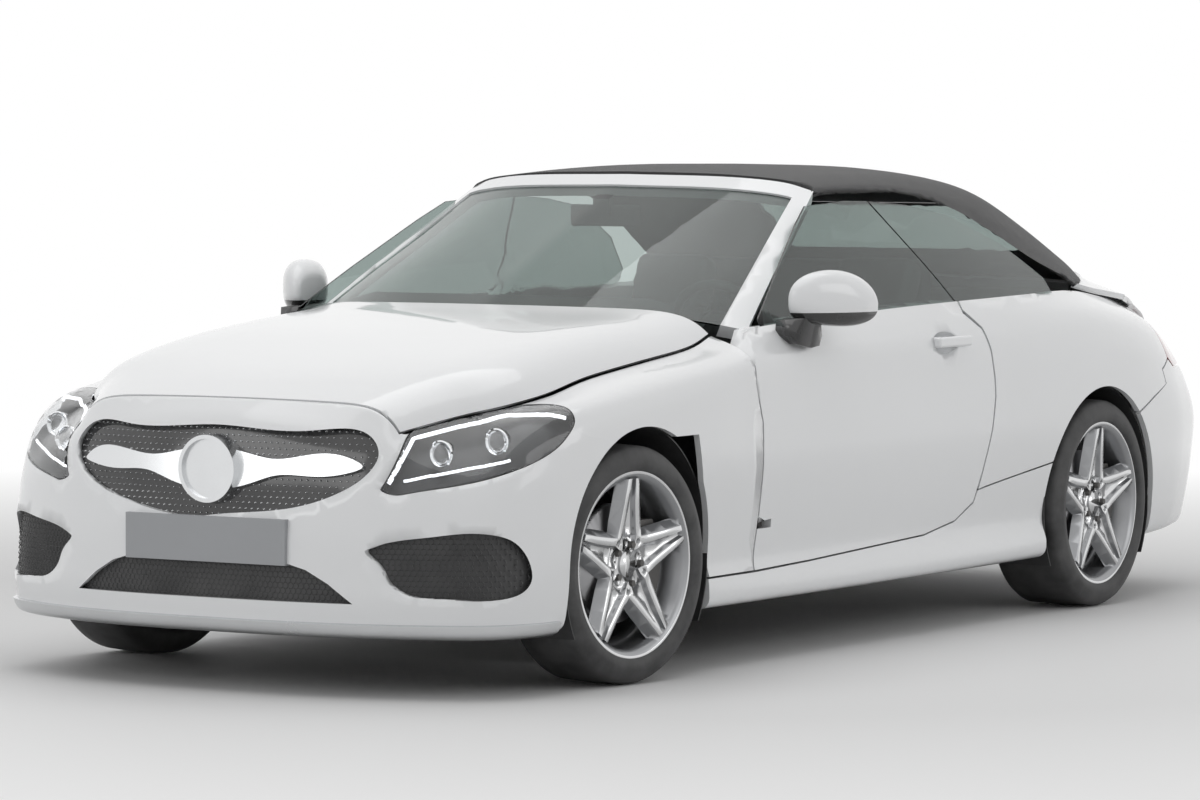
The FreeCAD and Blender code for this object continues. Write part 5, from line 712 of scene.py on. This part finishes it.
def padding(node_name, name, material):
    """A cushion blown up a little by cloth simulation from its CAD solid, which it replaces."""
    cloth = settings().cloth
    mesh = mesh_from(merged(node_name), name)
    made = bpy.data.objects.new(name, mesh)
    scene = bpy.context.scene
    scene.collection.objects.link(made)
    remesh = made.modifiers.new("Remesh", "REMESH")
    remesh.mode = "VOXEL"
    remesh.voxel_size = cloth.voxel
    applied(made)
    mesh = made.data
    base = [vertex.co.copy() for vertex in mesh.vertices]
    for vertex, spot, normal in zip(mesh.vertices, base, [v.normal.copy() for v in mesh.vertices]):
        vertex.co = spot - normal * cloth.cap / 2
    press = made.modifiers.new("Cloth", "CLOTH")
    press.settings.quality = 4
    press.settings.use_pressure = True
    press.settings.uniform_pressure_force = cloth.pressure
    press.settings.effector_weights.gravity = 0.0
    press.settings.tension_stiffness = press.settings.compression_stiffness = CLOTH_STIFFNESS
    press.collision_settings.use_collision = False
    press.point_cache.frame_start, press.point_cache.frame_end = 1, CLOTH_FRAMES
    for frame_number in range(1, CLOTH_FRAMES + 1):
        scene.frame_set(frame_number)
    graph = bpy.context.evaluated_depsgraph_get()
    blown = made.evaluated_get(graph).to_mesh()
    for vertex, spot, swollen in zip(mesh.vertices, base, blown.vertices):
        move = swollen.co - spot
        if move.length > cloth.cap / 2:
            move *= cloth.cap / 2 / move.length
        vertex.co = spot + move
    made.evaluated_get(graph).to_mesh_clear()
    made.modifiers.clear()
    scene.frame_set(1)
    smooth = made.modifiers.new("Smooth", "SMOOTH")
    smooth.iterations = 3
    applied(made)
    mesh = made.data
    bpy.data.objects.remove(made)
    made = keep(name, mesh, material, body_of(node_name), (node_name,), 60.0)
    return made


# Pieces

class CONVERTIBLE_OT_stage(bpy.types.Operator):
    """Plain pale floor, soft studio light and the camera"""
    bl_idname = "convertible.stage"
    bl_label = "Stage and camera"

    def execute(self, context):
        stage = settings().stage
        scene = context.scene
        scene.view_settings.view_transform = "Standard"
        yaw, pitch, roll = (math.radians(angle) for angle in CAMERA_TURNS)
        back = Vector((math.sin(yaw) * math.cos(pitch), -math.cos(yaw) * math.cos(pitch), math.sin(pitch)))
        right = (-back).cross(Z).normalized()
        above = right.cross(-back)
        right, above = (math.cos(roll) * right + math.sin(roll) * above,
                        math.cos(roll) * above - math.sin(roll) * right)
        camera = bpy.data.objects.new("Camera", bpy.data.cameras.new("Camera"))
        camera.data.lens = stage.lens
        camera.data.sensor_width = 36.0
        camera.data.clip_end = 300.0
        place = Matrix((right, above, back)).transposed().to_4x4()
        place.translation = CAMERA_PLACE
        camera.matrix_world = place
        scene.collection.objects.link(camera)
        scene.camera = camera

        floor = bmesh.new()
        bmesh.ops.create_circle(floor, cap_ends=True, segments=96, radius=FLOOR_RADIUS)
        mesh = mesh_from(floor, "Floor")
        ground = bpy.data.objects.new("Floor", mesh)
        scene.collection.objects.link(ground)
        surface = bpy.data.materials.new("Pale floor")
        surface.use_nodes = True
        tree = surface.node_tree
        plain = tree.nodes["Principled BSDF"]
        plain.inputs["Base Color"].default_value = (*stage.floor, 1.0)
        plain.inputs["Roughness"].default_value = 0.6
        plain.inputs["Specular IOR Level"].default_value = 0.2
        place = tree.nodes.new("ShaderNodeTexCoord")
        far = node(tree, "VectorMath", operation="LENGTH")
        tree.links.new(place.outputs["Object"], far.inputs[0])
        fade = node(tree, "MapRange")
        fade.inputs["From Min"].default_value = stage.fade_start
        fade.inputs["From Max"].default_value = stage.fade_end
        tree.links.new(far.outputs["Value"], fade.inputs["Value"])
        white = tree.nodes.new("ShaderNodeEmission")
        mix = tree.nodes.new("ShaderNodeMixShader")
        tree.links.new(math_node(tree, "MULTIPLY", fade.outputs["Result"], seen_rays(tree)), mix.inputs[0])
        tree.links.new(plain.outputs[0], mix.inputs[1])
        tree.links.new(white.outputs[0], mix.inputs[2])
        tree.links.new(mix.outputs[0], tree.nodes["Material Output"].inputs["Surface"])
        mesh.materials.append(surface)

        world = bpy.data.worlds.new("Studio")
        scene.world = world
        world.use_nodes = True
        tree = world.node_tree
        room = tree.nodes["Background"]
        room.inputs["Color"].default_value = (1.0, 1.0, 1.0, 1.0)
        room.inputs["Strength"].default_value = stage.daylight
        seen = tree.nodes.new("ShaderNodeBackground")
        seen.inputs["Color"].default_value = (1.0, 1.0, 1.0, 1.0)
        seen.inputs["Strength"].default_value = 1.0
        mix = tree.nodes.new("ShaderNodeMixShader")
        tree.links.new(seen_rays(tree), mix.inputs[0])
        tree.links.new(room.outputs[0], mix.inputs[1])
        tree.links.new(seen.outputs[0], mix.inputs[2])
        tree.links.new(mix.outputs[0], tree.nodes["World Output"].inputs["Surface"])
        for name, spot, size, power in SOFTBOXES:
            light = bpy.data.lights.new(name, "AREA")
            light.shape = "RECTANGLE"
            light.size, light.size_y = size
            light.energy = power
            lamp = bpy.data.objects.new(name, light)
            lamp.location = spot
            lamp.rotation_euler = (LIGHT_TARGET - Vector(spot)).to_track_quat("-Z", "Y").to_euler()
            scene.collection.objects.link(lamp)
        return {"FINISHED"}


class CONVERTIBLE_OT_body(bpy.types.Operator):
    """Painted panels, smooth over the solids"""
    bl_idname = "convertible.body"
    bl_label = "Painted body"

    def execute(self, context):
        for node_name in ("front_bumper", "front_wings", "bonnet", "door_left", "door_right", "quarter_panels",
                          "rear_bumper", "boot_lid", "tonneau_cover", "sill_skirts", "windscreen_frame"):
            panel(node_name, node_name + "_paint", paint())
        return {"FINISHED"}


class CONVERTIBLE_OT_glass(bpy.types.Operator):
    """Windows and lamp covers"""
    bl_idname = "convertible.glass"
    bl_label = "Glass"

    def execute(self, context):
        for node_name in ("windscreen", "door_glass_left", "door_glass_right", "quarter_glasses", "rear_window"):
            panel(node_name, node_name + "_pane", tinted())
        panel("headlamp_covers", "headlamp_lenses", lens_glass())
        panel("tail_lamps", "tail_lamp_lenses", red_lens())
        return {"FINISHED"}


class CONVERTIBLE_OT_roof(bpy.types.Operator):
    """Fabric roof"""
    bl_idname = "convertible.roof"
    bl_label = "Fabric roof"

    def execute(self, context):
        work = merged("soft_top")
        solid = BVHTree.FromBMesh(work)
        inner = [(vertex, vertex.normal.copy()) for vertex in work.verts
                 if vertex.normal.dot(vertex.co - ROOF_HEART) < 0]
        for vertex, normal in inner:
            distance = solid.ray_cast(vertex.co - normal * 1e-4, -normal, ROOF_REACH)[3]
            if distance is not None:
                vertex.co -= normal * max(0.0, distance - settings().cloth.thickness)
        cut = work.loops.layers.uv.new("Cloth")
        top = max(vertex.co.z for vertex in work.verts)
        for face in work.faces:
            for loop in face.loops:
                spot = loop.vert.co
                side = 1 if spot.x >= 0 else -1
                loop[cut].uv = (spot.x + side * (top - spot.z), spot.y)
        flat_area = sum(face.calc_area() for face in work.faces) / 2
        made = keep("roof_cloth", mesh_from(work, "roof_cloth"), canvas(), "body", ("soft_top",), 40.0)
        return {"FINISHED"}


class CONVERTIBLE_OT_seats(bpy.types.Operator):
    """Padded seats"""
    bl_idname = "convertible.seats"
    bl_label = "Seats"

    def execute(self, context):
        padding("front_seats", "front_seat_pads", leather())
        padding("rear_seat", "rear_seat_pads", leather())
        return {"FINISHED"}


class CONVERTIBLE_OT_grille(bpy.types.Operator):
    """Bright pins in the grille and cells in the bumper's meshes"""
    bl_idname = "convertible.grille"
    bl_label = "Grille and meshes"

    def execute(self, context):
        grille = settings().grille
        pins = rows_tree("Grille pins", "pin")
        cells = rows_tree("Mesh cells", "cell")
        for node_name, name, tree, pitch, size, depth, material, slot in (
                ("radiator_grille", "grille_pins", pins, grille.pin_pitch, grille.pin_size, PIN_DEPTH,
                 chrome(), "bright_trim"),
                ("bumper_grilles", "bumper_mesh", cells, grille.cell, grille.cell * 1.08, grille.wire / 2,
                 gloss_black(), "black_plastic")):
            low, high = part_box(node_name)
            mesh = pattern(name, tree, {
                "Face": NODES[node_name], "Width": high[0] - low[0], "Height": high[2] - low[2],
                "Level": (high[2] + low[2]) / 2, "Pitch across": pitch, "Pitch up": pitch * ROW_SHARE, "Size": size,
                "Depth": depth, "Material": material})
            keep(name, mesh, material, "body", smooth=None)
        return {"FINISHED"}


class CONVERTIBLE_OT_lamps(bpy.types.Operator):
    """Lines of light and projectors behind the headlamp covers"""
    bl_idname = "convertible.lamps"
    bl_label = "Headlamp insides"

    def execute(self, context):
        cover = probe("headlamp_covers")
        white = lit("Lamp line", (0.95, 0.97, 1.0), 1.2)
        ahead = Vector((0.0, -3.0, 0.0))

        def behind(x, z, depth):
            found = cover.ray_cast(Vector((x, ahead.y, z)), Y)[0]
            return None if found is None else found + Y * depth

        low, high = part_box("headlamp_covers")
        heights = [low[2] + (high[2] - low[2]) * n / 120 for n in range(121)]
        columns = []
        for n in range(40):
            x = LAMP_SPAN[0] + (LAMP_SPAN[1] - LAMP_SPAN[0]) * n / 39
            seen = [z for z in heights if behind(x, z, 0.0) is not None]
            if len(seen) > 8:
                columns.append((x, min(seen), max(seen)))
        for hand, side in (("left", 1), ("right", -1)):
            lines = []
            brow = [behind(side * x, bottom + (top - bottom) * BROW_SHARE, BROW_DEPTH) for x, bottom, top in columns]
            lines.append(tube([p for p in brow if p], BROW_RADIUS, 8))
            foot = [behind(side * x, bottom + (top - bottom) * FOOT_SHARE, FOOT_DEPTH)
                    for x, bottom, top in columns[4:-6]]
            lines.append(tube([p for p in foot if p], FOOT_RADIUS, 8))
            keep("lamp_lines_" + hand, joined(lines, "lamp_lines_" + hand), white, "body")
            eyes, bowls = [], []
            for x, share_up in PROJECTORS:
                near = min(columns, key=lambda c: abs(c[0] - x))
                spot = behind(side * x, near[1] + (near[2] - near[1]) * share_up, PROJECTOR_DEPTH)
                if spot is None:
                    raise RuntimeError("no cover before a projector")
                eyes.append(turned(EYE_PROFILE, spot, Y))
                bowls.append(turned(BOWL_PROFILE, spot, Y))
            keep("projector_eyes_" + hand, joined(eyes, "projector_eyes_" + hand), lens_glass(), "body")
            keep("projector_rims_" + hand, joined(bowls, "projector_rims_" + hand), chrome(), "body")
        return {"FINISHED"}


class CONVERTIBLE_OT_wheels(bpy.types.Operator):
    """Rims, tyres, discs and knuckles"""
    bl_idname = "convertible.wheels"
    bl_label = "Wheels"

    def execute(self, context):
        bolts = ring_tree("Wheel bolts")
        for end in ("front", "rear"):
            for hand in ("left", "right"):
                tail = end + "_" + hand
                rim = panel("rim_" + tail, "rim_" + tail + "_alloy", [wheel_silver(), machined()])
                side = 1 if hand == "left" else -1
                for face in rim.data.polygons:
                    face.material_index = 1 if face.normal.x * side > SPOKE_FACE_SHARE else 0
                disc = merged("brake_disc_" + tail)
                axis = sum((face.normal * face.calc_area() for face in disc.faces
                            if face.normal.x * side > DISC_FACE_SHARE), Vector()).normalized()
                middle = sum((v.co for v in disc.verts), Vector()) / len(disc.verts)
                disc.free()
                across = axis.cross(Z).normalized()
                rim_faces = probe("rim_" + tail)
                seat = rim_faces.ray_cast(middle + axis * 0.4 + across * settings().wheels.bolt_circle, -axis)[0]
                if seat is None:
                    raise RuntimeError("no seat for the bolts of " + tail)
                centre = middle + axis * ((seat - middle).dot(axis) + 0.004)
                turn = axis.to_track_quat("Z", "Y").to_euler()
                heads = pattern("bolts_" + tail, bolts, {
                    "Centre": list(centre), "Turn": list(turn), "Count": settings().wheels.bolts,
                    "Circle": settings().wheels.bolt_circle, "Material": iron()})
                keep("bolts_" + tail, heads, iron(), body_of("rim_" + tail), smooth=None)
                panel("tyre_" + tail, "tyre_" + tail + "_rubber", rubber())
                panel("brake_disc_" + tail, "brake_disc_" + tail + "_steel", disc_steel())
        for hand in ("left", "right"):
            dress("knuckle_" + hand, iron())
        return {"FINISHED"}


class CONVERTIBLE_OT_rest(bpy.types.Operator):
    """Plain finishes for the pieces that keep their solids"""
    bl_idname = "convertible.rest"
    bl_label = "Solids"

    def execute(self, context):
        table = {
            "headlamps": (dark_grey, "black_plastic"), "radiator_grille": (gloss_black, "black_plastic"),
            "bumper_grilles": (black_plastic, "black_plastic"), "front_trim_blade": (bright, "bright_trim"),
            "floor_pan": (underside, "black_plastic"), "wheel_arch_liners": (black_plastic, "black_plastic"),
            "front_subframe": (iron, "iron"), "engine_block": (iron, "iron"), "rear_axle": (iron, "iron"),
            "exhaust": (iron, "iron"), "hinge_brackets": (iron, "iron"), "bonnet_hinge_arms": (iron, "iron"),
            "lid_hinge_arms": (iron, "iron"), "cowl_panel": (black_plastic, "black_plastic"),
            "dashboard": (dash_plastic, "black_plastic"), "steering_wheel": (leather, "leather"),
            "centre_console": (dash_plastic, "black_plastic"), "interior_mirror": (black_plastic, "black_plastic"),
            "grille_bars": (bright, "bright_trim"), "number_plate": (plate_grey, "plate_grey"),
            "door_handle_left": (paint, "paint"), "door_handle_right": (paint, "paint"),
        }
        for node_name, (material, slot) in table.items():
            dress(node_name, material())
        for hand in ("left", "right"):
            name = "door_mirror_" + hand
            work = merged(name)
            bmesh.ops.bisect_plane(work, geom=[*work.verts, *work.edges, *work.faces], dist=1e-5,
                                   plane_co=Z * MIRROR_SPLIT, plane_no=Z)
            shell = keep(name + "_shell", mesh_from(work, name), [paint(), gloss_black()], body_of(name),
                         (name,), 40.0)
            for face in shell.data.polygons:
                face.material_index = 1 if face.center.z < MIRROR_SPLIT else 0
        return {"FINISHED"}


class CONVERTIBLE_PT_panel(bpy.types.Panel):
    """The convertible's pieces"""
    bl_idname = "CONVERTIBLE_PT_panel"
    bl_label = "Convertible car"
    bl_space_type = "VIEW_3D"
    bl_region_type = "UI"
    bl_category = "Convertible"

    def draw(self, context):
        for operator in OPERATORS:
            self.layout.operator(operator.bl_idname)
        for part in ("paint", "glass", "cloth", "grille", "wheels", "stage"):
            group = getattr(settings(), part)
            box = self.layout.box()
            for key in group.__annotations__:
                box.prop(group, key)


OPERATORS = (CONVERTIBLE_OT_stage, CONVERTIBLE_OT_body, CONVERTIBLE_OT_glass, CONVERTIBLE_OT_roof,
             CONVERTIBLE_OT_seats, CONVERTIBLE_OT_grille, CONVERTIBLE_OT_lamps, CONVERTIBLE_OT_wheels,
             CONVERTIBLE_OT_rest)
CLASSES = (PaintSettings, GlassSettings, ClothSettings, GrilleSettings, WheelSettings, StageSettings,
           ConvertibleSettings, *OPERATORS, CONVERTIBLE_PT_panel)


def register():
    for kind in CLASSES:
        bpy.utils.register_class(kind)
    bpy.types.Scene.convertible = PointerProperty(type=ConvertibleSettings)


def unregister():
    del bpy.types.Scene.convertible
    for kind in reversed(CLASSES):
        bpy.utils.unregister_class(kind)


def main():
    register()
    for operator in OPERATORS:
        area, name = operator.bl_idname.split(".")
        getattr(getattr(bpy.ops, area), name)()


if __name__ == "__main__":
    main()
